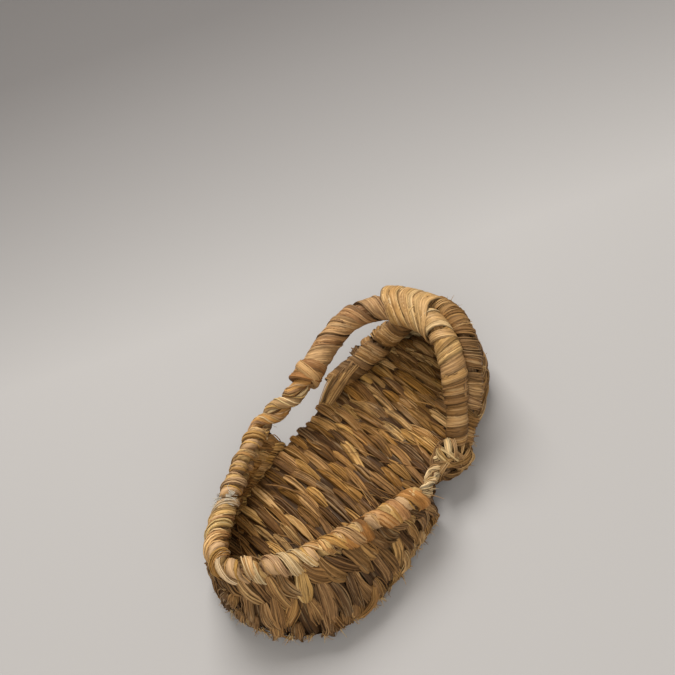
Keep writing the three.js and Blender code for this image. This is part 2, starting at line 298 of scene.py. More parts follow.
@dataclass(frozen=True)
class RimShape:
    """The line of the rope that closes the toe wall."""

    tip_x: float = -4.5
    tip_y: float = -65
    end_y: float = -9
    left_half: float = 36.6
    right_half: float = 34.4
    tip_z: float = 34
    end_z: float = 22
    spread: float = 1.08
    drop: float = 1.5
    steps: int = 12

    def path(self) -> Path:
        """Returns the rim's middle line, from its left end round the toe to its right end."""
        side = np.arange(-self.steps, self.steps + 1) / self.steps
        reach = np.abs(side)
        half = np.where(side < 0, self.left_half, self.right_half)
        x = self.tip_x * (1 - reach) + np.sign(side) * half * reach ** self.spread
        y = self.tip_y + (self.end_y - self.tip_y) * reach ** 2
        z = self.tip_z - (self.tip_z - self.end_z) * reach ** self.drop
        return Path(np.stack([x, y, z], axis=-1))


@dataclass
class Fence:
    """A wall of strands that stands round part of the sole's edge.

    Attributes:
        foot: The stretch of the sole's outline that it stands against.
        edge: Gives the wall's top edge at shares of its length.
        turn: 1 round the toe and -1 round the heel, so that faces point outwards.
        lean: How late the wall leans in to its top edge.
    """

    foot: Path
    edge: Callable[[Any], Array]
    turn: int
    lean: float
    foot_z: float = 1.2
    lean_start_z: float = 10.5
    clearance: float = 0.35
    thickness: float = 3.6
    bulge: float = 0.9
    bulge_share: float = 0.6

    def middle(self, along: Any, share: Any) -> Array:
        """Returns points in the middle of the wall at shares of its length and height."""
        along, share = np.broadcast_arrays(np.asarray(along, float), np.asarray(share, float))
        tangent = self.foot.tangent(along)
        square = np.stack([tangent[..., 1], -tangent[..., 0], np.zeros_like(along)], axis=-1)
        outward = unit(square) * self.turn
        point = self.foot.at(along) + outward * (self.clearance + self.thickness / 2)
        top = self.edge(along)
        z = self.foot_z + (top[..., 2] - self.foot_z) * share
        room = np.maximum(top[..., 2] - self.lean_start_z, 1e-3)
        lean = np.clip((z - self.lean_start_z) / room, 0, 1.5) ** self.lean
        lean = np.where(top[..., 2] > self.lean_start_z, lean, 0.0)[..., None]
        flat = point + (top - point) * lean
        return np.stack([flat[..., 0], flat[..., 1], z], axis=-1)

    def normal(self, along: Any, share: Any) -> Array:
        """Returns the directions out of the wall's outer face."""
        along, share = np.broadcast_arrays(np.asarray(along, float), np.asarray(share, float))
        step = 0.01
        ahead, behind = np.minimum(along + step, 1), np.maximum(along - step, 0)
        run = self.middle(ahead, share) - self.middle(behind, share)
        rise = self.middle(along, share + step) - self.middle(along, np.maximum(share - step, 0))
        return unit(np.cross(run, rise)) * self.turn

    def swell(self, share: Any) -> Array:
        """Returns how far the outer face swells at shares of the height."""
        return self.bulge * np.sin(math.pi * np.clip(np.asarray(share) / self.bulge_share, 0, 1))

    def outer(self, along: Any, share: Any, out: Any) -> tuple[Array, Array]:
        """Returns points that far outside the wall's middle, and the directions out of it there."""
        normal = self.normal(along, share)
        return self.middle(along, share) + normal * (out + self.swell(share))[..., None], normal

    def inner(self, along: Any, share: Any, out: Any) -> tuple[Array, Array]:
        """Returns points that far inside the wall's middle, and the directions into the shoe there."""
        normal = self.normal(along, share)
        return self.middle(along, share) - normal * np.asarray(out)[..., None], -normal


COUNTER_TOP = (
    (-28.8, 30.5, 11), (-21.5, 43.5, 15.2), (-14, 54.5, 21.5), (-5, 58.5, 31.5), (6, 58.8, 40.2),
    (17, 55.5, 42.2), (26, 48.5, 36.5), (30.8, 38, 22.4), (32, 19.5, 4.6),
)
STRAP_ROUTE = (
    (-28.8, 23.5, 30.6), (-27.6, 35, 34), (-22.5, 45, 38), (-12, 51.5, 40.6), (0, 52.5, 41.8),
    (11, 50, 43), (18.5, 45, 42.6), (24, 40, 38.5), (28, 34, 30.5), (31.2, 26.5, 21), (32.7, 21.2, 14.4),
)
LEFT_KNOT_ROUTE = ((-28.9, 22.8, 30.4), (-29.3, 19.2, 29.3), (-29.8, 15.2, 28))
RIGHT_KNOT_ROUTE = ((33.3, 18.9, 11.6), (32.8, 13.8, 12.9), (32.4, 8.8, 14.7))


class Side(Enum):
    """The two sides of the sandal, as the viewer of its toe sees them."""

    LEFT = "left"
    RIGHT = "right"


class Last:
    """The lines and walls that every piece of the sandal follows."""

    # Where the toe wall and the two ends of the counter stop along the sole, and how late each wall leans in
    TOE_WALL_END_Y = -6
    COUNTER_END_Y = (30, 17)
    TOE_LEAN = 1.4
    COUNTER_LEAN = 2.2
    # How far a tie cord runs inside a knot or the rim, and straight on from it
    TIE_REACH = (-1.5, 4)

    def __init__(self) -> None:
        """Lays out the sole, the rim, the two walls, the strap and the knots."""
        self.sole = SoleShape()
        self.rim = RimShape().path()
        self.counter_edge = Path(COUNTER_TOP)
        toe = (-math.inf, self.TOE_WALL_END_Y)
        left, right = ((y, math.inf) for y in self.COUNTER_END_Y)
        self.toe = Fence(self.sole.foot_line(toe, toe, True), self.rim.at, 1, self.TOE_LEAN)
        self.counter = Fence(
            self.sole.foot_line(left, right, False), self.counter_edge.by_point, -1, self.COUNTER_LEAN)
        self.strap = Path(STRAP_ROUTE)
        self.knots = {Side.LEFT: Path(LEFT_KNOT_ROUTE), Side.RIGHT: Path(RIGHT_KNOT_ROUTE)}

    def tie(self, side: Side) -> Path:
        """Returns the line of the tie cord from a knot to the end of the rim."""
        knot = self.knots[side]
        end = 0.0 if side is Side.LEFT else 1.0
        away = self.rim.tangent(end) * (-1 if side is Side.LEFT else 1)
        onward = knot.tangent(1.0)
        leaves = [knot.at(1.0) + onward * reach for reach in self.TIE_REACH]
        meets = [self.rim.at(end) + away * reach for reach in self.TIE_REACH[::-1]]
        return Path(leaves + meets)


# Finishes

@dataclass(frozen=True)
class StrawFinish:
    """One kind of dried straw, by what its strands show.

    Attributes:
        name: The material's name.
        palette: Colours that strands take, from the darkest to the palest.
        stain: Colour of the damp stains and old dirt.
        stain_share: How much of the surface is stained, from 0 to 1.
        pale: Colour of the bleached fibres.
        fibre_mm: Spacing of the fibres that show along a strand.
        patch_mm: Size of the patches that stains come in.
        streak: How far the fibres differ in colour.
        relief: Strength of the fibres' relief.
        roughness: Lowest and highest roughness.
        edge_shade: How far a strand darkens at its edges: painted shade of the gaps between strips, partly
            dust.
        specular: Strength of its reflection.
        variety: How far strands turn to olive or to rust, and to grey.
    """

    name: str
    palette: tuple[str, ...]
    stain: str
    stain_share: float = 0.35
    pale: str = "#E2C694"
    fibre_mm: float = 1.1
    patch_mm: float = 16.0
    streak: float = 0.42
    relief: float = 0.5
    roughness: Span = (0.52, 0.82)
    edge_shade: float = 0.4
    specular: float = 0.25
    variety: float = 1.0

    def material(self) -> bpy.types.Material:
        """Builds the material's nodes.

        Returns:
            The new material.
        """
        material = bpy.data.materials.new(self.name)
        material.use_nodes = True
        tree = material.node_tree
        tree.nodes.clear()
        strand = add_node(tree, "ShaderNodeAttribute", attribute_name="straw").outputs["Vector"]
        tone = add_node(tree, "ShaderNodeAttribute", attribute_name="tone").outputs["Fac"]
        edge = add_node(tree, "ShaderNodeAttribute", attribute_name="edge").outputs["Fac"]
        place = add_node(tree, "ShaderNodeTexCoord").outputs["Object"]
        base = self._base(tree, tone, strand)
        fibres = self._fibres(tree, strand)
        streaked = self._streaks(tree, base, fibres, self._cracks(tree, strand))
        stained = self._stains(tree, streaked, place, strand)
        shaded = self._edges(tree, stained, edge)
        rough = add_node(tree, "ShaderNodeMapRange", {
            "Value": fibres, "To Min": self.roughness[1], "To Max": self.roughness[0]})
        bump = add_node(tree, "ShaderNodeBump", {
            "Height": fibres, "Strength": self.relief, "Distance": 0.25 * MM})
        shader = add_node(tree, "ShaderNodeBsdfPrincipled", {
            "Base Color": shaded, "Roughness": rough, "Normal": bump,
            "IOR": 1.45, "Specular IOR Level": self.specular})
        add_node(tree, "ShaderNodeOutputMaterial", {"Surface": shader})
        return material

    def _base(self, tree: Tree, tone: Source, strand: Source) -> Source:
        """Returns the strand's colour, picked by its tone and turned to olive or to rust."""
        ramp = add_node(tree, "ShaderNodeValToRGB", {"Fac": tone})
        stops = ramp.color_ramp.elements
        while len(stops) < len(self.palette):
            stops.new(0.5)
        for i, (stop, colour) in enumerate(zip(stops, self.palette)):
            stop.position = i / (len(self.palette) - 1)
            stop.color = linear(colour)
        ident = add_node(tree, "ShaderNodeSeparateXYZ", {"Vector": strand}).outputs["Z"]
        chance = add_node(tree, "ShaderNodeTexNoise", {
            "W": ident, "Scale": 9.0, "Detail": 0.0}, noise_dimensions="1D")
        parts = add_node(tree, "ShaderNodeSeparateColor", {"Color": chance.outputs["Color"]}).outputs
        turns: dict[str, Source] = {"Color": ramp}
        for name, part, middle, (low, high) in (
            ("Hue", "Red", 0.5, (-0.006, 0.003)), ("Saturation", "Green", 1.0, (-0.14, 0.06)),
        ):
            turns[name] = add_node(tree, "ShaderNodeMapRange", {
                "Value": parts[part], "From Min": 0.3, "From Max": 0.7,
                "To Min": middle + low * self.variety, "To Max": middle + high * self.variety})
        return add_node(tree, "ShaderNodeHueSaturation", turns)

    def _fibres(self, tree: Tree, strand: Source) -> Source:
        """Returns the fibres' height, stretched along the strand."""
        across = 1 / (self.fibre_mm * MM)
        drawn = add_node(tree, "ShaderNodeMapping", {"Vector": strand, "Scale": (across / 22, across, 37.0)})
        noise = add_node(tree, "ShaderNodeTexNoise", {
            "Vector": drawn, "Scale": 1.0, "Detail": 3.0, "Roughness": 0.62})
        spread = add_node(tree, "ShaderNodeMapRange", {"Value": noise, "From Min": 0.35, "From Max": 0.66})
        return spread

    def _cracks(self, tree: Tree, strand: Source) -> Source:
        """Returns 1, and less in the thin cracks where the dried straw has split along its fibres."""
        across = 1 / (0.9 * self.fibre_mm * MM)
        drawn = add_node(tree, "ShaderNodeMapping", {
            "Vector": strand, "Scale": (1 / (11 * MM), across, 53.0)})
        noise = add_node(tree, "ShaderNodeTexNoise", {
            "Vector": drawn, "Scale": 1.0, "Detail": 2.0, "Roughness": 0.5})
        level = add_node(tree, "ShaderNodeMath", {0: noise, 1: 0.5}, operation="SUBTRACT")
        away = add_node(tree, "ShaderNodeMath", {0: level}, operation="ABSOLUTE")
        depth = add_node(tree, "ShaderNodeMapRange", {
            "Value": away, "From Max": 0.035,
            "To Min": 1 - 0.9 * self.streak, "To Max": 1.0})
        return depth

    def _streaks(self, tree: Tree, base: Source, fibres: Source, cracks: Source) -> Source:
        """Returns the colour with its dark fibres and cracks deeper and its pale fibres lighter."""
        value = add_node(tree, "ShaderNodeMapRange", {
            "Value": fibres, "To Min": 1 - self.streak, "To Max": 1 + 0.3 * self.streak})
        both = add_node(tree, "ShaderNodeMath", {0: value, 1: cracks}, operation="MULTIPLY")
        tint = add_node(tree, "ShaderNodeHueSaturation", {"Value": both, "Color": base})
        bleach = add_node(tree, "ShaderNodeMapRange", {
            "Value": fibres, "From Min": 0.6, "From Max": 1.0, "To Max": 0.5 * self.streak})
        mix = add_node(tree, "ShaderNodeMix", {
            "Factor": bleach, "A": tint, "B": linear(self.pale)}, data_type="RGBA")
        return mix

    def _stains(self, tree: Tree, colour: Source, place: Source, strand: Source) -> Source:
        """Returns the colour with stained patches that break up along the fibres."""
        patches = add_node(tree, "ShaderNodeTexNoise", {
            "Vector": place, "Scale": 1 / (self.patch_mm * MM), "Detail": 4.0, "Roughness": 0.6})
        along = add_node(tree, "ShaderNodeMapping", {
            "Vector": strand, "Scale": (1 / (9 * MM), 1 / (1.6 * MM), 11.0)})
        flecks = add_node(tree, "ShaderNodeTexNoise", {
            "Vector": along, "Scale": 1.0, "Detail": 3.0, "Roughness": 0.7})
        both = add_node(tree, "ShaderNodeMath", {0: patches, 1: flecks}, operation="ADD")
        low = 1.16 - 0.3 * self.stain_share
        amount = add_node(tree, "ShaderNodeMapRange", {
            "Value": both, "From Min": low, "From Max": low + 0.26,
            "To Max": 0.75})
        mix = add_node(tree, "ShaderNodeMix", {
            "Factor": amount, "A": colour, "B": linear(self.stain)}, data_type="RGBA")
        return mix

    def _edges(self, tree: Tree, colour: Source, edge: Source) -> Source:
        """Returns the colour darkened along the strand's edges: painted shade of the gaps between strips,
        with some dust.
        """
        value = add_node(tree, "ShaderNodeMapRange", {
            "Value": edge, "From Min": 0.55, "From Max": 1.0, "To Min": 1.0, "To Max": 1 - self.edge_shade})
        tint = add_node(tree, "ShaderNodeHueSaturation", {"Value": value, "Color": colour})
        return tint


# Dried weft straw, matte and fibrous, its colour changing from strand to strand
SOLE_STRAW = StrawFinish(
    "dried_straw_weft", ("#482E10", "#6E4920", "#92652D", "#B07E3C", "#D6A761"), "#452D16", 0.34, variety=0.4)
# Split straw of the walls, with frayed grey and olive strands among the tan ones
WALL_STRAW = StrawFinish(
    "split_straw_wall", ("#523618", "#7A552A", "#A27642", "#C29658", "#E4C58E"), "#4C341C", 0.36,
    edge_shade=0.52, variety=0.35)
# Twisted straw rope, its proud plies worn pale and golden
ROPE_STRAW = StrawFinish(
    "twisted_straw_rope", ("#6E4A26", "#9C6E3B", "#C08E4E", "#D4A864", "#ECD09E"), "#5E4224", 0.3)
# Broad smooth leaf strips, pale and satin with fine straight fibres
WRAP_STRAW = StrawFinish(
    "smooth_leaf_wrap", ("#7E5730", "#A67A46", "#C4965A", "#D8AE70", "#EACA96"), "#7C562B", 0.25,
    fibre_mm=0.7, streak=0.5, relief=0.4, roughness=(0.42, 0.68), edge_shade=0.55, variety=0.4)
# The same leaf on the strap's left leg, darker and browner: painted shade of that leg, with a browner hue of
# its own
SHADED_BROWN_WRAP = StrawFinish(
    "shaded_brown_leaf_wrap", ("#744A28", "#98683C", "#B5844F", "#C89A64", "#DDB784"), "#624024", 0.25,
    fibre_mm=0.7, streak=0.5, relief=0.4, roughness=(0.45, 0.7), edge_shade=0.55, variety=0.5)
# Knotted straw, rubbed to an orange tan
KNOT_STRAW = StrawFinish(
    "knotted_straw", ("#6E4722", "#946330", "#B0783C", "#C48F4C", "#DAAE6E"), "#5E4022", 0.3, variety=0.4)
# A wisp of fibres bleached almost white
BLEACHED_STRAW = StrawFinish(
    "bleached_straw_wisp", ("#B5A78A", "#C9BDA4", "#DDD4C2"), "#8C7A5E", 0.3, pale="#E6DECE", streak=0.3)
# Packed straw deep in the weave: its dark colours are painted shade where little light gets, partly dust
CORE_STRAW = StrawFinish(
    "packed_straw_core", ("#3C2713", "#523619", "#644522"), "#2E1D0E", 0.4,
    roughness=(0.95, 1.0), edge_shade=0.0, specular=0.0)


class Finishes:
    """The materials of the sandal, each made once."""

    def __init__(self) -> None:
        """Starts with no material made."""
        self._made: dict[str, bpy.types.Material] = {}

    def of(self, finish: StrawFinish) -> bpy.types.Material:
        """Returns the material of a finish, and makes it the first time."""
        if finish.name not in self._made:
            self._made[finish.name] = finish.material()
        return self._made[finish.name]


# Strands

@dataclass(frozen=True)
class Lock:
    """How a lock of straw is laid: a plump body under split strips that lie side by side.

    Attributes:
        width: Width of the lock.
        height: Thickness of its body.
        strips: Number of split strips across it.
        hairs: Number of thin fibres that stray over it.
        taper: Share of the width left at the two ends.
        drift: How far the strips wander across the lock, as a share of its width.
        twist: How far the lock rolls from end to end, in radians.
        fray: How far the strips run on past its end, as a share of its length.
        tone: Middle of the lock's tones.
        tone_spread: How far the tones differ.
    """

    width: float
    height: float = 2.2
    strips: int = 5
    hairs: int = 1
    taper: Span = (0.35, 0.35)
    drift: float = 0.35
    twist: float = 0.5
    fray: float = 0.0
    tone: float = 0.55
    tone_spread: float = 0.2


class StrandSet:
    """The strand lines of one piece, kept until they are swept into strips."""

    COLUMNS = ("position", "facing", "across", "half_width", "half_thick", "along", "tone", "ident", "thin")
    # Lowest middle line, the range of the strands' numbers, and the step between strips of one lock
    LOWEST_Z = 0.6
    IDENTS = 9.0
    IDENT_STEP = 0.004
    # A lock's body: its bows and waves as shares of its width, its height at the ends, and its roll
    BOW = 0.09
    SIDE_BOW = 0.05
    SIDE_BOW_TURN = 5
    FULLNESS = 0.55
    WAVE = 0.12
    WAVES = (0.6, 1.4)
    END_HEIGHT = 0.3
    FRAY_THINNING = 2.4
    ROLL = 0.2
    BODY_WIDTH = 0.86
    BODY_TONE = -0.1
    # Share of the tone's spread between locks, its limit in spreads, and the share between a lock's strips
    LOCK_TONE = 0.8
    TONE_LIMIT = 1.3
    STRIP_TONE = 0.28
    # The strips of a lock, and the thin hairs that stray over it
    STRIP_REACH = 0.95
    STRIP_JITTER = 0.2
    STRIP_WIDTH = (0.255, 1.105)
    STRIP_HALF_THICK = 0.18
    STRIP_ROLL = 0.8
    ROUNDING = 0.95
    LOOSE = 0.3
    LOOSE_MIDDLE = 0.2
    RUN_ON = (-0.4, 1)
    HAIR_REACH = 0.9
    HAIR_DRIFT = 1.2
    HAIR_HALF_WIDTH = (0.12, 0.26)
    # A tuft's fibres: points, share of the longest, spread of their roots, size, tip and tones
    FRAY_POINTS = 6
    FRAY_LENGTH = (0.45, 1.0)
    FRAY_ROOT = (0.5, 0.4)
    FRAY_HALF_WIDTH = (0.1, 0.26)
    FRAY_TIP = 0.7
    FRAY_FLATNESS = 0.7
    FRAY_TONES = (0.4, 1.0)
    # Locks folded under a wall: points, share of the height, distances off the wall's middle, and sag
    FOOT_POINTS = 8
    FOOT_SHARE = 0.05
    FOOT_OUTER = 0.6
    FOOT_INNER = 2.6
    FOOT_SAG = 0.9
    FOOT_LOCK = Lock(5.6, 1.3, strips=2, hairs=0, taper=(0.8, 0.8), twist=0.1, tone=0.4)

    def __init__(self, seed: int) -> None:
        """Starts an empty set.

        Args:
            seed: Fixes everything that is random in the set.
        """
        self.rng = np.random.default_rng(seed)
        self.columns: dict[str, list[Array]] = {key: [] for key in self.COLUMNS}
        self.counts: list[int] = []

    def add(
        self, points: Array, facing: Array, half_width: Any, half_thick: Any, tone: float, thin: bool = False,
        ident: float | None = None,
    ) -> None:
        """Adds one strand.

        Args:
            points: Its middle line.
            facing: The direction that its flat side faces, at each point or all along.
            half_width: Half its width, at each point or all along.
            half_thick: Half its thickness, at each point or all along.
            tone: Where its colour lies in the palette, from 0 to 1.
            thin: True for a strip so thin that few sides do.
            ident: The number that its hue and crinkles follow, or None for a number by chance.
        """
        count = len(points)
        facing = np.broadcast_to(facing, points.shape)
        points = np.column_stack([points[:, :2], np.maximum(points[:, 2], self.LOWEST_Z)])
        tangent = unit(np.gradient(points, axis=0))
        across = unit(np.cross(facing, tangent))
        run = np.linalg.norm(np.diff(points, axis=0), axis=1)
        ident = self.rng.uniform(0, self.IDENTS) if ident is None else ident
        values = {
            "position": points, "facing": np.cross(tangent, across), "across": across,
            "half_width": np.broadcast_to(half_width, count),
            "half_thick": np.broadcast_to(half_thick, count),
            "along": np.concatenate([[0.0], np.cumsum(run)]),
            "tone": np.full(count, np.clip(tone, 0, 1)), "ident": np.full(count, ident),
            "thin": np.full(count, float(thin)),
        }
        for key, value in values.items():
            self.columns[key].append(np.asarray(value, float))
        self.counts.append(count)

    def add_lock(self, points: Array, normals: Array, lock: Lock) -> None:
        """Adds a lock of straw along one line.

        Args:
            points: The lock's middle line.
            normals: The direction that its upper side faces, at each point or all along.
            lock: How the lock is laid.
        """
        rng = self.rng
        s = np.linspace(0, 1, len(points))
        normals = np.broadcast_to(normals, points.shape)
        across = unit(np.cross(normals, np.gradient(points, axis=0)))
        bow = rng.normal(0, self.BOW) * lock.width * arc(s)
        bow = bow + rng.normal(0, self.SIDE_BOW) * lock.width * np.sin(self.SIDE_BOW_TURN * s)
        points = points + across * bow[:, None]
        ends = between(lock.taper, s)
        shape = ends + (1 - ends) * arc(s) ** self.FULLNESS
        wave = 1 + self.WAVE * np.sin(2 * math.pi * (s * rng.uniform(*self.WAVES) + rng.uniform(0, 1)))
        half = lock.width / 2 * shape * wave
        thinning = 1 - self.FRAY_THINNING * lock.fray * s ** 3
        high = lock.height / 2 * between((self.END_HEIGHT, 1.0), np.minimum(shape, 1)) * thinning
        roll = rng.normal(0, self.ROLL) + rng.uniform(-1, 1) * lock.twist * (s - 0.5)
        chance = float(np.clip(rng.normal(), -self.TONE_LIMIT, self.TONE_LIMIT))
        tone = lock.tone + self.LOCK_TONE * lock.tone_spread * chance
        ident = rng.uniform(0, self.IDENTS)
        upper = turned(normals, across, roll)
        self.add(points, upper, self.BODY_WIDTH * half, high, tone + self.BODY_TONE, ident=ident)
        for k in range(lock.strips + lock.hairs):
            hair = k >= lock.strips
            if hair:
                first = rng.uniform(-self.HAIR_REACH, self.HAIR_REACH)
            else:
                step = 2 * (k + 0.5 + rng.normal(0, self.STRIP_JITTER)) / lock.strips
                first = self.STRIP_REACH * (step - 1)
            wander = (self.HAIR_DRIFT if hair else lock.drift) * rng.uniform(-1, 1)
            place = np.clip(first + wander * (s - 0.5), -1.0, 1.0)
            lift = np.sqrt(1 - self.ROUNDING * place ** 2) * high + rng.uniform(0.0, self.LOOSE)
            lift = lift + self.LOOSE_MIDDLE * rng.normal() * arc(s)
            line = points + across * (place * half)[:, None] + normals * lift[:, None]
            line = carried_on(line, s * (1 + lock.fray * rng.uniform(*self.RUN_ON)))
            if hair:
                width = rng.uniform(*self.HAIR_HALF_WIDTH)
            else:
                width = rng.uniform(*self.STRIP_WIDTH) * half / lock.strips
            tilt = self.STRIP_ROLL * np.arcsin(place) + roll + rng.normal(0, self.ROLL)
            shade = tone + rng.normal(0.0, self.STRIP_TONE * lock.tone_spread)
            self.add(line, turned(normals, across, tilt), width, self.STRIP_HALF_THICK, shade, True,
                     ident + self.IDENT_STEP * (k + 1))

    def add_fray(
        self, root: Array, way: Array, normal: Array, count: int, length: float, spread: float,
    ) -> None:
        """Adds a tuft of thin fibres.

        Args:
            root: Where the tuft starts.
            way: The direction that it points in.
            normal: A direction square to it, which the fibres also spread along.
            count: Number of fibres.
            length: Length of the longest fibre.
            spread: How far the tips spread, as a share of the length.
        """
        rng = self.rng
        side = unit(np.cross(way, normal))
        s = np.linspace(0, 1, self.FRAY_POINTS)[:, None]
        for _ in range(count):
            reach = length * rng.uniform(*self.FRAY_LENGTH)
            bend = side * rng.normal(0, spread) + normal * rng.normal(0, spread * self.FRAY_FLATNESS)
            start = root + side * rng.normal(0, self.FRAY_ROOT[0]) + normal * rng.normal(0, self.FRAY_ROOT[1])
            points = start + way * reach * s + bend * reach * s ** 2
            width = rng.uniform(*self.FRAY_HALF_WIDTH) * (1 - self.FRAY_TIP * s[:, 0])
            self.add(points, normal, width, width * self.FRAY_FLATNESS, rng.uniform(*self.FRAY_TONES), True)

    def add_feet(self, fence: Fence, count: int) -> None:
        """Folds locks under the foot of a wall, from its outer face in towards the sole.

        Args:
            fence: The wall.
            count: Number of spaces between the locks.
        """
        size = self.FOOT_POINTS
        t = np.linspace(0, 1, size)[:, None]
        for j in range(count + 1):
            along, low = np.full(size, j / count), np.full(size, self.FOOT_SHARE)
            outer = fence.outer(along, low, self.FOOT_OUTER)[0]
            inner = fence.inner(along, low, self.FOOT_INNER)[0]
            points = between((outer, inner), t)
            points[:, 2] -= self.FOOT_SAG * arc(between((0.15, 0.85), t[:, 0]))
            self.add_lock(points, -UP, self.FOOT_LOCK)

    def mesh(self, name: str, shift: Array) -> bpy.types.Mesh:
        """Returns the lines as a mesh of loose edges in metres, with the strands' values on its points.

        Args:
            name: The mesh's name.
            shift: From the sandal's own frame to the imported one, in millimetres.

        Returns:
            The mesh.
        """
        stacked = {key: np.concatenate(rows) for key, rows in self.columns.items()}
        starts = np.concatenate([[0], np.cumsum(self.counts)])
        edges = [
            np.stack([np.arange(a, b - 1), np.arange(a + 1, b)], axis=-1) for a, b in zip(starts, starts[1:])]
        mesh = bpy.data.meshes.new(name)
        points = (stacked["position"] + shift) * MM
        mesh.from_pydata(points.tolist(), np.concatenate(edges).tolist(), [])
        in_metres = {"half_width", "half_thick", "along"}
        for key, values in stacked.items():
            if key == "position":
                values, key = points, "centre"
            elif key in in_metres:
                values = values * MM
            kind = "FLOAT_VECTOR" if values.ndim == 2 else "FLOAT"
            layer = mesh.attributes.new(key, kind, "POINT")
            channel = "vector" if values.ndim == 2 else "value"
            layer.data.foreach_set(channel, values.astype(np.float32).ravel())
        return mesh


class StrandSweep:
    """The node tree that turns strand lines into closed strips with furrows along them."""

    INPUTS = {
        "Strands": "NodeSocketGeometry", "Sides": "NodeSocketInt", "Furrow depth": "NodeSocketFloat",
        "Furrow pitch": "NodeSocketFloat", "Crinkle": "NodeSocketFloat", "Straw": "NodeSocketMaterial",
    }
    # What the tree reads from the strands' points, and nothing reads after it
    VECTORS = ("centre", "facing", "across", "section")
    NUMBERS = ("half_width", "half_thick", "along", "ident", "thin")
    THIN_SIDES = 6
    # Length of a furrow over its spacing, and the step between two strands' furrows
    FURROW_STRETCH = 9.0
    FURROW_STEP = 23.0
    # Length of a crinkle, the step between two strands, and its strength on thin and on broad strips
    CRINKLE_MM = 3
    CRINKLE_STEP = 31.0
    CRINKLE_HALF_WIDTHS_MM = (0.1, 0.8)
    CRINKLE_STRENGTH = (0.3, 2.0)
    # No point lies lower than this
    FLOOR_MM = 0.1

    def __init__(self) -> None:
        """Builds the tree with its named inputs."""
        tree = bpy.data.node_groups.new("straw_strips", "GeometryNodeTree")
        tree.is_modifier = True
        self.tree = tree
        self.ids = {
            name: tree.interface.new_socket(name, in_out="INPUT", socket_type=kind).identifier
            for name, kind in self.INPUTS.items()}
        tree.interface.new_socket("Strips", in_out="OUTPUT", socket_type="NodeSocketGeometry")
        self.given = add_node(tree, "NodeGroupInput").outputs
        self.read = {
            name: add_node(tree, "GeometryNodeInputNamedAttribute", {"Name": name}, data_type=kind)
            for kind, names in (("FLOAT_VECTOR", self.VECTORS), ("FLOAT", self.NUMBERS)) for name in names}
        soft = add_node(tree, "GeometryNodeSetShadeSmooth", {"Geometry": self._shape(self._sweep())})
        real = add_node(tree, "GeometryNodeRealizeInstances", {"Geometry": soft})
        dressed = add_node(tree, "GeometryNodeSetMaterial", {
            "Geometry": real, "Material": self.given["Straw"]})
        add_node(tree, "NodeGroupOutput", {"Strips": dressed})

    def _sweep(self) -> Source:
        """Sweeps a circle along the strands, with fewer sides on the thin ones.

        Returns:
            The swept strips, each point of which keeps its place in the circle.
        """
        tree = self.tree
        parts = add_node(tree, "GeometryNodeSeparateGeometry", {
            "Geometry": self.given["Strands"], "Selection": self.read["thin"]}, domain="POINT")
        joined = add_node(tree, "GeometryNodeJoinGeometry")
        for part, sides in (("Inverted", self.given["Sides"]), ("Selection", self.THIN_SIDES)):
            lines = add_node(tree, "GeometryNodeMeshToCurve", {"Mesh": parts.outputs[part]})
            circle = add_node(tree, "GeometryNodeCurvePrimitiveCircle", {"Resolution": sides, "Radius": 1.0})
            section = add_node(tree, "GeometryNodeStoreNamedAttribute", {
                "Geometry": circle, "Name": "section",
                "Value": add_node(tree, "GeometryNodeInputPosition")},
                data_type="FLOAT_VECTOR", domain="POINT")
            swept = add_node(tree, "GeometryNodeCurveToMesh", {
                "Curve": lines, "Profile Curve": section, "Fill Caps": True})
            tree.links.new(swept.outputs["Mesh"], joined.inputs["Geometry"])
        return joined

    def _shape(self, mesh: Source) -> Source:
        """Sets every point of the swept strips by the strand's width, thickness and furrows.

        Args:
            mesh: The swept strips.

        Returns:
            The shaped strips, with the values that their material reads.
        """
        tree, read = self.tree, self.read
        circle = add_node(tree, "ShaderNodeSeparateXYZ", {"Vector": read["section"]}).outputs
        sideways = add_node(tree, "ShaderNodeMath", {
            0: circle["X"], 1: read["half_width"]}, operation="MULTIPLY")
        flat = add_node(tree, "ShaderNodeMath", {0: circle["Y"], 1: read["half_thick"]}, operation="MULTIPLY")
        upper = add_node(tree, "ShaderNodeMath", {0: circle["Y"], 1: 0.0}, operation="MAXIMUM")
        relief = add_node(tree, "ShaderNodeMath", {0: self._furrow(sideways), 1: upper}, operation="MULTIPLY")
        up = add_node(tree, "ShaderNodeMath", {0: flat, 1: relief}, operation="ADD")
        point = read["centre"]
        for direction, amount in (("across", sideways), ("facing", up)):
            step = add_node(tree, "ShaderNodeVectorMath", {
                0: read[direction], "Scale": amount}, operation="SCALE")
            point = add_node(tree, "ShaderNodeVectorMath", {0: point, 1: step}, operation="ADD")
        lowest = (-1.0, -1.0, self.FLOOR_MM * MM)
        for operation, other in (("ADD", self._crinkle(point)), ("MAXIMUM", lowest)):
            point = add_node(tree, "ShaderNodeVectorMath", {0: point, 1: other}, operation=operation)
        shaped = add_node(tree, "GeometryNodeSetPosition", {"Geometry": mesh, "Position": point})
        straw = add_node(tree, "ShaderNodeCombineXYZ", {
            "X": read["along"], "Y": sideways, "Z": read["ident"]})
        edge = add_node(tree, "ShaderNodeMath", {0: circle["X"]}, operation="ABSOLUTE")
        for name, value, kind in (("straw", straw, "FLOAT_VECTOR"), ("edge", edge, "FLOAT")):
            shaped = add_node(tree, "GeometryNodeStoreNamedAttribute", {
                "Geometry": shaped, "Name": name, "Value": value},
                data_type=kind, domain="POINT")
        return shaped

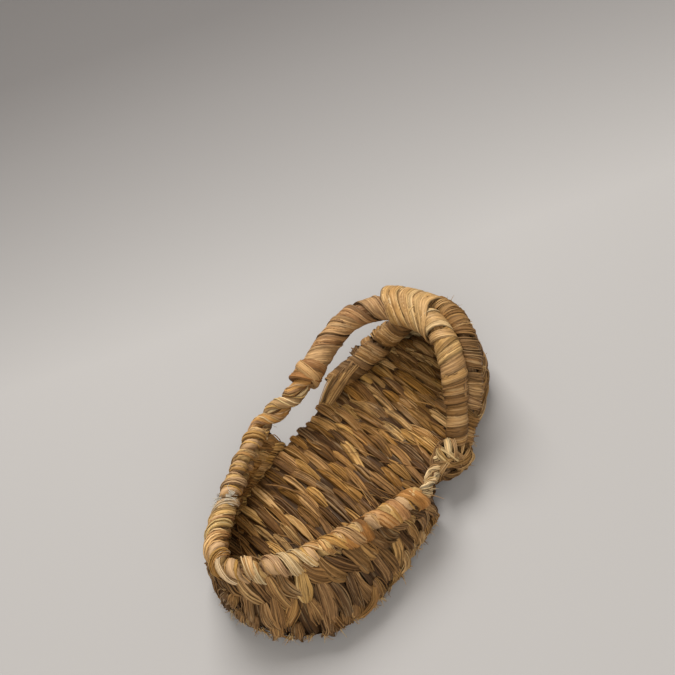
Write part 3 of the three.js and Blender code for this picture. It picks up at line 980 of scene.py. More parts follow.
    def _furrow(self, sideways: Source) -> Source:
        """Adds the furrows along the strips.

        Args:
            sideways: How far a point lies from the strand's middle line.

        Returns:
            How far the furrows lift a point or lower it.
        """
        tree, pitch = self.tree, self.given["Furrow pitch"]
        run = add_node(tree, "ShaderNodeMath", {0: pitch, 1: self.FURROW_STRETCH}, operation="MULTIPLY")
        sums = {"X": ("DIVIDE", self.read["along"], run), "Y": ("DIVIDE", sideways, pitch),
                "Z": ("MULTIPLY", self.read["ident"], self.FURROW_STEP)}
        grain = add_node(tree, "ShaderNodeCombineXYZ", {
            axis: add_node(tree, "ShaderNodeMath", {0: a, 1: b}, operation=operation)
            for axis, (operation, a, b) in sums.items()})
        noise = add_node(tree, "ShaderNodeTexNoise", {
            "Vector": grain, "Scale": 1.0, "Detail": 1.5, "Roughness": 0.5})
        level = add_node(tree, "ShaderNodeMath", {0: noise, 1: 0.5}, operation="SUBTRACT")
        depth = add_node(tree, "ShaderNodeMath", {
            0: self.given["Furrow depth"], 1: 2.0}, operation="MULTIPLY")
        return add_node(tree, "ShaderNodeMath", {0: level, 1: depth}, operation="MULTIPLY")

    def _crinkle(self, point: Source) -> Source:
        """Adds the crinkles of each strand.

        Args:
            point: The point before it is moved.

        Returns:
            The step that moves it.
        """
        tree, ident = self.tree, self.read["ident"]
        scaled = add_node(tree, "ShaderNodeVectorMath", {
            0: point, "Scale": 1 / (self.CRINKLE_MM * MM)}, operation="SCALE")
        along = add_node(tree, "ShaderNodeMath", {0: ident, 1: self.CRINKLE_STEP}, operation="MULTIPLY")
        apart = add_node(tree, "ShaderNodeCombineXYZ", {"X": along, "Y": ident})
        place = add_node(tree, "ShaderNodeVectorMath", {0: scaled, 1: apart}, operation="ADD")
        noise = add_node(tree, "ShaderNodeTexNoise", {
            "Vector": place, "Scale": 1.0, "Detail": 2.0, "Roughness": 0.6}).outputs["Color"]
        level = add_node(tree, "ShaderNodeVectorMath", {0: noise, 1: (0.5, 0.5, 0.5)}, operation="SUBTRACT")
        thin, broad = (size * MM for size in self.CRINKLE_HALF_WIDTHS_MM)
        limp = add_node(tree, "ShaderNodeMapRange", {
            "Value": self.read["half_width"], "From Min": thin, "From Max": broad,
            "To Min": self.CRINKLE_STRENGTH[0], "To Max": self.CRINKLE_STRENGTH[1]})
        reach = add_node(tree, "ShaderNodeMath", {0: self.given["Crinkle"], 1: limp}, operation="MULTIPLY")
        return add_node(tree, "ShaderNodeVectorMath", {0: level, "Scale": reach}, operation="SCALE")


class Workshop:
    """What all pieces are made with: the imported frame's place, the materials and the sweep."""

    def __init__(self, last: Last, finishes: Finishes) -> None:
        """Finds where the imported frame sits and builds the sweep.

        Args:
            last: The lines and walls of the sandal.
            finishes: The materials.
        """
        low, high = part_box("sole")
        middle = (low + high) / (2 * MM)
        self.shift = np.array([middle.x, middle.y - (last.sole.toe_y + last.sole.end_y) / 2, 0.0])
        self.finishes = finishes
        self.sweep = StrandSweep()


# Cords and windings

@dataclass(frozen=True)
class Section:
    """The section of a cord or band, round its path.

    Attributes:
        half_width: Half the section's width, level.
        half_height: Half its height.
        back: How far its middle lies sideways of the path.
        drop: How far its middle lies below the path.
    """

    half_width: float
    half_height: float
    back: float = 0.0
    drop: float = 0.0

    def around(self, path: Path, share: Array, angle: Array, out: Any) -> tuple[Array, Array]:
        """Returns points on the section, and the directions out of it.

        Args:
            path: The path that the section follows.
            share: Shares of the path's length.
            angle: Angles round the section, from the sideways direction upwards.
            out: How far outside the section the points lie.

        Returns:
            The points and the directions.
        """
        centre, sideways, upright = path.frame(share)
        c, s = np.cos(angle)[:, None], np.sin(angle)[:, None]
        way = unit(sideways * c / self.half_width + upright * s / self.half_height)
        point = centre + sideways * (self.back + self.half_width * c)
        point = point + upright * (self.half_height * s - self.drop)
        return point + way * np.broadcast_to(out, share.shape)[:, None], way


@dataclass(frozen=True)
class Winding:
    """Strips wound round a cord, each turn over the edge of the last.

    Attributes:
        pitch: Advance along the cord for each turn.
        width: Width of a strip.
        thick: Thickness of a strip.
        slant: Extra advance within a turn, so that the strip lies askew.
        first_angle: Where on the cord each turn starts.
        turn: Share of a full turn that a strip makes.
        tone: Middle of the strips' tones.
        tone_spread: How far the tones differ.
        wobble: How far turns stray along the cord.
        stray: How far their slants differ.
        strips: Number of split strips that lie on each turn.
    """

    # How far turns differ in angle, width and tilt, and how they climb over each other
    ANGLE_STRAY = 0.15
    WIDTHS = (0.85, 1.15)
    TILT = 0.5
    TILT_STRAY = 0.03
    LIFT = 0.3
    LIFT_STRAY = 0.25
    CLIMB = 0.35
    # The split strips: how far out they lie, their height on the turn, their sizes and tones
    STRIP_REACH = 0.85
    STRIP_LIFT = 0.42
    STRIP_WIDTH = (0.1, 0.24)
    STRIP_HALF_THICK = 0.16
    STRIP_TONE = 0.08

    pitch: float
    width: float
    thick: float = 0.8
    slant: float = 0.0
    first_angle: float = -1.6
    turn: float = 1.08
    tone: float = 0.6
    tone_spread: float = 0.16
    wobble: float = 0.5
    stray: float = 1.5
    strips: int = 3

    def lay(
        self, strands: StrandSet, path: Path, start: float, end: float, section: Section,
        points: int = 26,
    ) -> None:
        """Winds strips along a stretch of a cord.

        Args:
            strands: The set that the strips go into.
            path: The cord's path.
            start: Share of the path where the winding starts.
            end: Share of the path where it ends.
            section: The cord's section.
            points: Points along each strip.
        """
        rng = strands.rng
        turns = max(1, round((end - start) * path.length / self.pitch))
        t = np.linspace(0, 1, points)
        for m in range(turns):
            angle = self.first_angle + 2 * math.pi * self.turn * t + rng.normal(0, self.ANGLE_STRAY)
            place = start + (end - start) * (m + 0.5) / turns + rng.normal(0, self.wobble) / path.length
            slant = self.slant + self.pitch + rng.normal(0, self.stray)
            share = np.clip(place + slant * (t - 0.5) / path.length, 0, 1)
            lift = self.LIFT * self.thick + self.LIFT_STRAY * rng.uniform(0, 1) + self.CLIMB * t
            at, way = section.around(path, share, angle, lift)
            tilt = self.TILT * self.thick / self.pitch + rng.normal(0, self.TILT_STRAY)
            facing = unit(way - path.tangent(share) * tilt)
            half = self.width / 2 * rng.uniform(*self.WIDTHS)
            tone = self.tone + rng.normal(0, self.tone_spread)
            ident = rng.uniform(0, StrandSet.IDENTS)
            strands.add(at, facing, half, self.thick / 2, tone, ident=ident)
            side = unit(np.cross(facing, np.gradient(at, axis=0)))
            for k in range(self.strips):
                off = rng.uniform(-self.STRIP_REACH, self.STRIP_REACH) * half
                line = at + side * off + facing * self.STRIP_LIFT * self.thick
                width = rng.uniform(*self.STRIP_WIDTH) * half
                shade = tone + rng.normal(0, self.STRIP_TONE)
                strands.add(line, facing, width, self.STRIP_HALF_THICK, shade, True,
                            ident + StrandSet.IDENT_STEP * (k + 1))


@dataclass(frozen=True)
class Rope:
    """A laid rope: plump plies twisted together, each with loose strips round it.

    Attributes:
        radius: Outside radius of the rope.
        pitch: Length of one full turn of a ply.
        plies: Number of plies.
        strips: Loose strips round one ply.
        knob: How much the plies swell on top and pinch at the sides.
        tone: Middle of the strips' tones.
        tone_spread: How far the tones differ.
    """

    # Points along a turn, and how far the lay and the knobs change along the rope
    TURN_POINTS = 18
    LAY_STRAY = (9, 0.6)
    KNOB_STRAY = (15, 0.5, 1.4)
    # Sizes as shares of the rope's radius or of a ply
    PLY_AT = 0.5
    PLY_SIZE = 0.48
    PLY_WIDTH = 1.06
    HEART = 0.35
    # The loose strips: their lay over the rope's, their stray, sizes and the tones of plies
    STRIP_LAY = 1.7
    STRIP_STRAY = 0.3
    STRIP_WIDTH = (0.12, 0.34)
    STRIP_HALF_THICK = 0.24
    PLY_TONE = 0.08

    radius: float
    pitch: float
    plies: int = 2
    strips: int = 5
    knob: float = 0.0
    tone: float = 0.6
    tone_spread: float = 0.2

    def lay(self, strands: StrandSet, path: Path) -> None:
        """Lays the rope along a path.

        Args:
            strands: The set that the strips go into.
            path: The rope's path.
        """
        rng = strands.rng
        count = max(10, int(path.length / self.pitch * self.TURN_POINTS))
        share = np.linspace(0, 1, count)
        centre, sideways, upright = path.frame(share)
        run = share * path.length
        places, stray = self.LAY_STRAY
        wave = np.interp(run, np.linspace(run[0], run[-1], places), rng.normal(0, stray, places))
        for p in range(self.plies):
            angle = 2 * math.pi * (run / self.pitch + p / self.plies) + wave
            places, least, most = self.KNOB_STRAY
            knobs = rng.uniform(least, most, places)
            swell = self.knob * np.interp(run, np.linspace(run[0], run[-1], places), knobs)
            ply = self.PLY_SIZE * self.radius * (1 - swell * np.cos(2 * angle))
            out = turned(sideways, upright, angle)
            line = centre + out * self.PLY_AT * self.radius
            tangent = unit(np.gradient(line, axis=0))
            side = unit(np.cross(tangent, out))
            square = np.cross(side, tangent)
            tone = self.tone + rng.normal(0, self.PLY_TONE)
            strands.add(line, square, ply * self.PLY_WIDTH, ply, tone)
            for k in range(self.strips):
                roll = 2 * math.pi * (k / self.strips + run / (self.pitch * self.STRIP_LAY))
                way = turned(square, side, roll + rng.normal(0, self.STRIP_STRAY))
                width = ply * rng.uniform(*self.STRIP_WIDTH)
                shade = tone + rng.normal(0, self.tone_spread)
                strands.add(line + way * ply[:, None], way, width, self.STRIP_HALF_THICK, shade, True)
        strands.add(centre, upright, self.HEART * self.radius, self.HEART * self.radius, 0.0)


# Sub-assemblies

@dataclass
class SubAssembly:
    """A part of the sandal that is made by itself.

    Attributes:
        last: The lines and walls of the sandal.
        shop: What all pieces are made with.
        slot: A material slot of the record, which is not used.
        node: The CAD node that its pieces stand for.
    """

    last: Last
    shop: Workshop
    slot: str = field(init=False)
    node: str = field(init=False)

    def build(self) -> None:
        """Makes its pieces."""
        raise NotImplementedError

    def strips(
        self, name: str, strands: StrandSet, finish: StrawFinish,
        sides: int = 12, furrow: Span = (0.3, 1.0), crinkle: float = 0.5,
    ) -> None:
        """Sweeps a strand set into a piece.

        Args:
            name: The piece's name.
            strands: Its strand lines.
            finish: Its finish.
            sides: Points round a strip's section.
            furrow: Depth and spacing of the furrows along a strip.
            crinkle: How far a strip strays from its smooth line.
        """
        lines = bpy.data.objects.new(name + "_lines", strands.mesh(name + "_lines", self.shop.shift))
        bpy.context.scene.collection.objects.link(lines)
        modifier = lines.modifiers.new("straw_strips", "NODES")
        modifier.node_group = self.shop.sweep.tree
        values = {"Sides": sides, "Furrow depth": furrow[0] * MM, "Furrow pitch": furrow[1] * MM,
                  "Crinkle": crinkle * MM, "Straw": self.shop.finishes.of(finish)}
        for key, value in values.items():
            modifier[self.shop.sweep.ids[key]] = value
        evaluated = lines.evaluated_get(bpy.context.evaluated_depsgraph_get())
        mesh = bpy.data.meshes.new_from_object(evaluated)
        mesh.name = name
        lines.modifiers.remove(modifier)
        bpy.data.objects.remove(lines)
        for spare in StrandSweep.VECTORS + StrandSweep.NUMBERS:
            if spare in mesh.attributes:
                mesh.attributes.remove(mesh.attributes[spare])
        self.place(name, mesh)

    def shell(
        self, name: str, grid: Array, back: Array, finish: StrawFinish, holes: Array | None = None,
    ) -> None:
        """Makes a closed shell between two grids of points.

        Args:
            name: The piece's name.
            grid: Points of the outer sheet, by column and row.
            back: Points of the inner sheet, in the same order.
            finish: Its finish.
            holes: True for each cell that is left open.
        """
        columns, rows = grid.shape[0] - 1, grid.shape[1] - 1
        holes = np.zeros((columns, rows), bool) if holes is None else holes
        points = (np.concatenate([grid.reshape(-1, 3), back.reshape(-1, 3)]) + self.shop.shift) * MM
        size = (columns + 1) * (rows + 1)

        def corner(sheet: int, i: int, j: int) -> int:
            """Returns the index of a grid point."""
            return sheet * size + i * (rows + 1) + j

        def solid(i: int, j: int) -> bool:
            """Returns whether a cell is there."""
            return 0 <= i < columns and 0 <= j < rows and not holes[i, j]

        faces = []
        for i in range(columns):
            for j in range(rows):
                if not solid(i, j):
                    continue
                ring = [(i, j), (i + 1, j), (i + 1, j + 1), (i, j + 1)]
                faces.append([corner(0, *p) for p in ring])
                faces.append([corner(1, *p) for p in ring[::-1]])
                beside = [(i, j - 1), (i + 1, j), (i, j + 1), (i - 1, j)]
                for (p, q), cell in zip(zip(ring, ring[1:] + ring[:1]), beside):
                    if not solid(*cell):
                        faces.append([corner(0, *q), corner(0, *p), corner(1, *p), corner(1, *q)])
        mesh = bpy.data.meshes.new(name)
        mesh.from_pydata(points.tolist(), [], faces)
        mesh.shade_smooth()
        mesh.materials.append(self.shop.finishes.of(finish))
        self.place(name, mesh)

    def place(self, name: str, mesh: bpy.types.Mesh) -> None:
        """Links a finished mesh, and ties it to the frame.

        Args:
            name: The piece's name.
            mesh: Its mesh, in metres.
        """
        piece = bpy.data.objects.new(name, mesh)
        bpy.context.scene.collection.objects.link(piece)
        node, slot = self.node, self.slot
        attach(piece, "root")
        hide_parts(node)
        LOG.info("%s: %d triangles", name, sum(len(p.vertices) - 2 for p in mesh.polygons))


@dataclass
class SoleMat(SubAssembly):
    """The mat: crosswise weft floats over a packed core, looped round the edge."""

    slot: str = "sole_straw"
    node: str = "sole"
    row_pitch: float = 2.2
    float_length: float = 19.5
    float_width: float = 4.6
    stray_fibres: int = 64
    # Painted light: tone added to the floats towards the heel and towards the toe, where they lie in shade
    heel_painted_light: float = 0.2
    toe_painted_light: float = 0.22
    warps: tuple[float, ...] = (-0.84, -0.5, -0.17, 0.17, 0.5, 0.84)
    tilt_left_deg: float = 8.0
    tilt_right_deg: float = 20.0

    def build(self) -> None:
        """Makes the core, the weft on both faces and the looped edge."""
        self._core()
        self.strips("sole_weft_top", self._top(), SOLE_STRAW, 10)
        self.strips("sole_weft_under", self._under(), SOLE_STRAW, 8, (0.15, 1.0), 0.25)
        self.strips("sole_edge_loops", self._edge(), SOLE_STRAW, 8, (0.2, 1.0), 0.35)

    def _drop(self, x: Array) -> Array:
        """Returns how far a weft row runs towards the toe by x, because it lies askew."""
        places = np.linspace(-36, 36, 73)
        low, high = (math.tan(math.radians(a)) for a in (self.tilt_left_deg, self.tilt_right_deg))
        slopes = low + (high - low) * smooth((places + 28) / 36)
        drop = np.cumsum(slopes) * (places[1] - places[0])
        return np.interp(x, places, drop - drop[36])

    def _core(self) -> None:
        """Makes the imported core."""
        sole = self.last.sole
        y = np.linspace(sole.toe_y + 1.2, sole.end_y - 1.2, 60)
        across = np.array([-1, -0.93, -0.6, -0.2, 0.2, 0.6, 0.93, 1.0])
        a, b = np.meshgrid(across, y, indexing="ij")
        edge = np.abs(a) == 1
        x = sole.middle(b) + a * (sole.half(b) - 0.6)
        top = np.where(edge, 6.6, sole.thickness - 0.7 + sole.dish * a ** 2)
        low = sole.lift(b) + np.where(edge, 3.0, 2.2)
        upper, under = (np.stack([x, b, z], -1) for z in (top, low))
        self.shell("sole_core", upper, under, CORE_STRAW)

    def _rows(self) -> Array:
        """Returns where the weft rows cross the middle of the sole."""
        sole = self.last.sole
        return np.arange(sole.toe_y - 8, sole.end_y + 10, self.row_pitch)

    def _float(self, y: float, warp: float, rng: np.random.Generator, points: int) -> Array | None:
        """Lays one float over a warp, unless it misses the sole.

        Args:
            y: Where its row crosses the middle.
            warp: Where the warp lies, as a share of half the width.
            rng: For the small irregularities.
            points: Points along it.

        Returns:
            The x and y of its points, or None.
        """
        sole = self.last.sole
        crossing = y - self._drop(np.array(warp * 30.0))
        half = float(sole.half(crossing))
        if half < 6:
            return None
        reach = self.float_length * (0.5 + 0.5 * half / 31) * rng.uniform(0.75, 1.45)
        middle = float(sole.middle(crossing)) + warp * half + rng.normal(0, 1.3)
        x = middle + reach * (np.linspace(0, 1, points) - 0.5)
        skew = rng.normal(0, 0.07)
        row = y - self._drop(x) + skew * (x - middle) + rng.normal(0, 0.35)
        limit = sole.half(row) - 0.8
        keep = limit > 2
        if keep.sum() < points * 0.7:
            return None
        return np.stack([sole.middle(row) + np.clip(x - sole.middle(row), -limit, limit), row], -1)

    def _floats(self, rng: np.random.Generator, face: int, points: int) -> Iterator[tuple[float, Array]]:
        """Finds the floats of one face, which pass over every second warp.

        Args:
            rng: For the small irregularities.
            face: 0 for the upper face and 1 for the underside.
            points: Points along each float.

        Yields:
            Where the float's row crosses the middle, and the float's x and y.
        """
        for i, y in enumerate(self._rows()):
            for w, warp in enumerate(self.warps):
                line = self._float(float(y), warp, rng, points) if (i + w) % 2 == face else None
                if line is not None:
                    yield float(y), line

    def _top(self) -> StrandSet:
        """Lays the floats that show inside the shoe.

        Returns:
            The strands.
        """
        strands = StrandSet(11)
        sole = self.last.sole
        rng = strands.rng
        s = np.linspace(0, 1, 11)
        for y, line in self._floats(rng, 0, len(s)):
            share = line[:, 0] / np.maximum(sole.half(line[:, 1]), 1)
            arch = 3.2 * arc(s) ** 0.6 - 2.5 + rng.normal(0, 0.4)
            z = sole.thickness + sole.dish * share ** 2 + arch
            # Painted light: floats near the heel and the toe are made paler to lighten their shade
            painted_light = self.heel_painted_light * float(smooth((y - 12.0) / 36.0))
            painted_light += self.toe_painted_light * float(smooth((-28.0 - y) / 24.0))
            strands.add_lock(np.column_stack([line, z]), UP, Lock(
                self.float_width * rng.uniform(0.55, 1.15), rng.uniform(2.4, 3.6),
                strips=int(rng.integers(2, 6)), hairs=int(rng.integers(0, 3)), taper=(0.15, 0.15), fray=0.03,
                tone=0.56 + painted_light, tone_spread=0.32))
        self._packing(strands)
        self._strays(strands)
        return strands

    def _packing(self, strands: StrandSet) -> None:
        """Lays the parts of the weft that dip under the floats, which fill the gaps between them.

        Args:
            strands: The set that they go into.
        """
        sole = self.last.sole
        t = np.linspace(-0.97, 0.97, 18)
        for y in self._rows():
            row = float(y) - self._drop(30.0 * t)
            half = sole.half(row)
            if np.min(half) < 6:
                continue
            height = sole.thickness - 0.5 + sole.dish * t ** 2
            line = np.column_stack([sole.middle(row) + t * half, row, height])
            # Their very dark tone is painted shade in the gaps between the floats
            strands.add(line, UP, 1.7, 1.0, strands.rng.normal(0.08, 0.1))

    def _strays(self, strands: StrandSet) -> None:
        """Lays long thin fibres that have worked loose across the floats.

        Args:
            strands: The set that they go into.
        """
        rng = strands.rng
        sole = self.last.sole
        s = np.linspace(0, 1, 9)
        for _ in range(self.stray_fibres):
            y = rng.uniform(sole.toe_y + 12, sole.end_y - 12)
            x = float(sole.middle(y)) + rng.uniform(-0.8, 0.8) * float(sole.half(y))
            turn = math.radians(rng.normal(-8, 13))
            reach = rng.uniform(8, 22) * (s - 0.5)
            bend = rng.normal(0, 0.9) * arc(s)
            line = np.stack([x + reach * math.cos(turn) - bend * math.sin(turn),
                             y + reach * math.sin(turn) + bend * math.cos(turn),
                             sole.thickness + rng.uniform(2.0, 2.9) + rng.normal(0, 0.3) * s], axis=-1)
            share = (line[:, 0] - sole.middle(line[:, 1])) / np.maximum(sole.half(line[:, 1]), 1)
            line[:, 2] += sole.dish * share ** 2
            if np.max(np.abs(share)) < 0.95:
                width = rng.uniform(0.1, 0.32)
                strands.add(line, UP, width, 0.12, rng.uniform(0.2, 0.9), True)

    def _under(self) -> StrandSet:
        """Lays the flatter, worn floats of the underside.

        Returns:
            The strands.
        """
        strands = StrandSet(12)
        sole = self.last.sole
        s = np.linspace(0, 1, 8)
        for _, line in self._floats(strands.rng, 1, len(s)):
            z = sole.lift(line[:, 1]) + 2.6 - 0.8 * arc(s) ** 0.7
            strands.add_lock(np.column_stack([line, z]), -UP, Lock(
                self.float_width, 1.3, strips=2, hairs=0, taper=(0.4, 0.4), twist=0.1, tone=0.45))
        return strands

    def _edge(self) -> StrandSet:
        """Lays the weft's loops round the edge of the sole.

        Returns:
            The strands.
        """
        strands = StrandSet(13)
        sole = self.last.sole
        for sign in (-1.0, 1.0):
            path = Path(sole.outline(sign), per_span=3)
            count = int(path.length / 4.4)
            for i in range(count):
                share = (i + 0.5 + strands.rng.normal(0, 0.1)) / count
                foot, tangent = path.at(share), path.tangent(share)
                out = unit(np.array([tangent[1], -tangent[0], 0.0])) * sign
                angle = np.linspace(1.75, -1.75, 10)[:, None]
                low, high = float(sole.lift(foot[1])) + 1.3, sole.thickness + 0.4
                half = (high - low) / 2
                slant = tangent * np.linspace(-1.6, 1.6, 10)[:, None] * -sign
                points = foot + out * (4.2 * np.cos(angle) - 4.5) + slant
                points = points + UP * (low + half + half * np.sin(angle))
                strands.add_lock(points, out * np.cos(angle) + UP * np.sin(angle), Lock(
                    4.6, 1.7, strips=3, hairs=0, taper=(0.7, 0.7), twist=0.3, tone=0.5))
        return strands


@dataclass(frozen=True)
class Tier:
    """One tier of locks on the outer face of the toe wall.

    Attributes:
        lock: How its locks are laid, apart from their width.
        width: Smallest and largest width of a lock.
        step: Mean and spread of its place beside a tuft, in tuft spacings.
        foot: Smallest and largest share of the height where it ends.
        sway_top: Mean and spread of how far its top lies off to the side, in strand spacings.
        sway_foot: The same for its foot.
        out: Smallest and largest distance off the wall's face.
        top: Smallest and largest share of the height where it starts.
    """

    lock: Lock
    width: Span
    step: Span
    foot: Span
    sway_top: Span
    sway_foot: Span
    out: Span
    top: Span = (0.36, 0.5)


@dataclass
class ToeWall(SubAssembly):
    """The fence of strands round the toe, with slits under the rim on the left."""

    slot: str = "wall_straw"
    node: str = "toe_wall"
    strands: int = 34
    tufts: int = 32
    slits: int = 9
    first_slit: float = 0.075
    slit_span: Span = (0.06, 0.34)
    columns: int = 204
    # The base locks' very dark tone is painted shade in the gaps between the tufts
    base: Lock = Lock(6.6, 1.6, strips=2, hairs=0, taper=(0.8, 0.9), fray=0.02, tone=0.04, tone_spread=0.1)
    upper: Lock = Lock(3.2, 3.6, strips=4, taper=(0.75, 0.6), twist=1.3, fray=0.1, tone=0.48, tone_spread=0.3)
    leaning: Tier = Tier(
        Lock(5.0, 2.8, strips=4, taper=(0.6, 0.9), twist=1.3, fray=0.14, tone=0.42, tone_spread=0.26),
        width=(4.0, 6.0), step=(0.5, 0.2), foot=(0.26, 0.38), sway_top=(0.3, 0.2), sway_foot=(-0.3, 0.4),
        out=(0.1, 0.9))
    tufted: Tier = Tier(
        Lock(5.1, 2.2, strips=6, hairs=2, taper=(0.6, 1.4), twist=1.2, fray=0.14, tone=0.5, tone_spread=0.24),
        width=(4.2, 6.0), step=(0.0, 0.25), foot=(0.07, 0.14), sway_top=(0.2, 0.2), sway_foot=(-0.5, 0.35),
        out=(0.0, 0.8))

    def build(self) -> None:
        """Makes the core, and the strands of the outer and the inner face."""
        self._core()
        self.strips("toe_wall_strands", self._outer(), WALL_STRAW, 10, crinkle=0.4)
        self.strips("toe_wall_lining_strands", self._inner(), SOLE_STRAW, 10)

    def _core(self) -> None:
        """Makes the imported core, open at the slits."""
        fence = self.last.toe
        shares = np.array([0.02, 0.14, 0.28, 0.42, 0.56, 0.66, 0.76, 0.9])
        along, share = np.meshgrid(np.linspace(0, 1, self.columns + 1), shares, indexing="ij")
        outer = fence.outer(along, share, 0.9)[0]
        inner = fence.inner(along, share, 0.9)[0]
        holes = np.zeros((self.columns, len(shares) - 1), bool)
        for i in range(self.slits):
            column = round((self.first_slit + i / self.strands) * self.columns)
            holes[column - 1:column + 1, 4:6] = True
        self.shell("toe_wall_core", outer, inner, CORE_STRAW, holes)

    def _outer(self) -> StrandSet:
        """Lays three tiers: plump locks below the rim, leaning ones, and frayed tufts down to the foot.

        Returns:
            The strands.
        """
        strands = StrandSet(21)
        rng = strands.rng
        pitch = 1 / self.tufts
        low, high = self.slit_span
        plain = [j * pitch for j in range(self.tufts + 1) if not low < j * pitch < high]
        beside = [(k + 0.05) / self.strands for k in range(self.strands) if low < k / self.strands < high]
        for middle, slit in [(at, False) for at in plain] + [(at, True) for at in beside]:
            if not slit:
                self._lock(strands, middle, (0.95, 0.1), (0.0, 0.0), self.base, -1.0)
            sway = 0.0 if slit else rng.normal(0.75, 0.5)
            upper = self.upper if slit else replace(self.upper, width=rng.uniform(4.2, 6.4))
            reach = 0.42 if slit else rng.uniform(0.58, 0.74)
            at = middle + rng.normal(0, 0.1) * pitch
            self._lock(strands, at, (0.97, reach), (-0.6 * sway, 0.6 * sway), upper, 0.3)
            self._tier(strands, middle, self.leaning, 0.53 if slit else rng.uniform(0.62, 0.8))
            self._tier(strands, middle, self.tufted)
            self._fringe(strands, middle)
        strands.add_feet(self.last.toe, self.strands)
        return strands

    def _tier(self, strands: StrandSet, middle: float, tier: Tier, top: float | None = None) -> None:
        """Lays one lock of a tier.

        Args:
            strands: The set that the lock goes into.
            middle: Where the tuft lies along the wall.
            tier: How the tier is laid.
            top: Share of the height where the lock starts, or None for one by chance.
        """
        rng = strands.rng
        lock = replace(tier.lock, width=rng.uniform(*tier.width))
        at = middle + rng.normal(*tier.step) / self.tufts
        top = rng.uniform(*tier.top) if top is None else top
        shares = (top, rng.uniform(*tier.foot))
        sway = (rng.normal(*tier.sway_top), rng.normal(*tier.sway_foot))
        self._lock(strands, at, shares, sway, lock, rng.uniform(*tier.out))

    def _lock(
        self, strands: StrandSet, middle: float, shares: Span, sway: Span,
        lock: Lock, out: float,
    ) -> None:
        """Lays one lock on the outer face.

        Args:
            strands: The set that the lock goes into.
            middle: Where it lies along the wall.
            shares: Shares of the height where it starts and ends.
            sway: How far it is off to the side there, in strand spacings.
            lock: How it is laid.
            out: How far it stands off the wall's face.
        """
        fence = self.last.toe
        t = np.linspace(0, 1, 12)
        along = np.clip(middle + between(sway, t) / self.strands, 0, 1)
        share = between(shares, t)
        lift = fence.thickness / 2 + out + 0.6 * arc(t)
        strands.add_lock(*fence.outer(along, share, lift - 0.6), lock)

    def _fringe(self, strands: StrandSet, middle: float) -> None:
        """Lays frayed ends along the foot of the wall."""
        rng = strands.rng
        at = np.array([np.clip(middle + rng.normal(0, 0.3) / self.strands, 0, 1)])
        points, normals = self.last.toe.outer(at, np.array([0.2]), 2.2)
        side = unit(self.last.toe.foot.tangent(at))[0]
        way = unit(-UP + 0.25 * normals[0] + side * rng.normal(0, 0.35))
        strands.add_fray(points[0], way, normals[0], 16, (points[0][2] - 0.8) / 1.4, 0.4)

    def _inner(self) -> StrandSet:
        """Lays the slanting floats of the inner face.

        Returns:
            The strands.
        """
        strands = StrandSet(22)
        rng = strands.rng
        fence = self.last.toe
        t = np.linspace(0, 1, 11)
        for tier, (high, low) in enumerate(((0.96, 0.5), (0.72, 0.26), (0.46, 0.12))):
            for j in range(self.strands):
                middle = (j + 0.5 * tier + rng.normal(0, 0.1)) / self.strands
                way = 1.0 if middle > 0.5 else -1.0
                slide = way * 1.5 / self.strands
                along = np.clip(middle + slide * (t - 0.5), 0, 1)
                share = between((high, low), t) + rng.normal(0, 0.02)
                # The floats' high tone is painted light on this shaded inner face
                strands.add_lock(*fence.inner(along, share, 1.0 + 0.9 * arc(t)), Lock(
                    5.0, 1.9, strips=4, taper=(0.3, 0.35), tone=0.8))
        return strands


@dataclass(frozen=True)
class FoldRun:
    """Locks that are folded over a stretch of the rim.

    Attributes:
        lock: How they are laid, apart from their width.
        count: Number of locks.
        stretch: Shares of the rim where the stretch starts and ends.
        jitter: How far a lock strays along it, in spacings.
        advance: Least and most that a lock runs along the rim.
        first_angle: Least and greatest angle round the rope where it starts.
        turn: Least and greatest angle that it turns through.
        lift: Height over the rope at its ends, and the most that its middle adds.
        width: Smallest and largest width of a lock.
    """

    lock: Lock
    count: int
    stretch: Span
    jitter: float
    advance: Span
    first_angle: Span
    turn: Span
    lift: Span
    width: Span


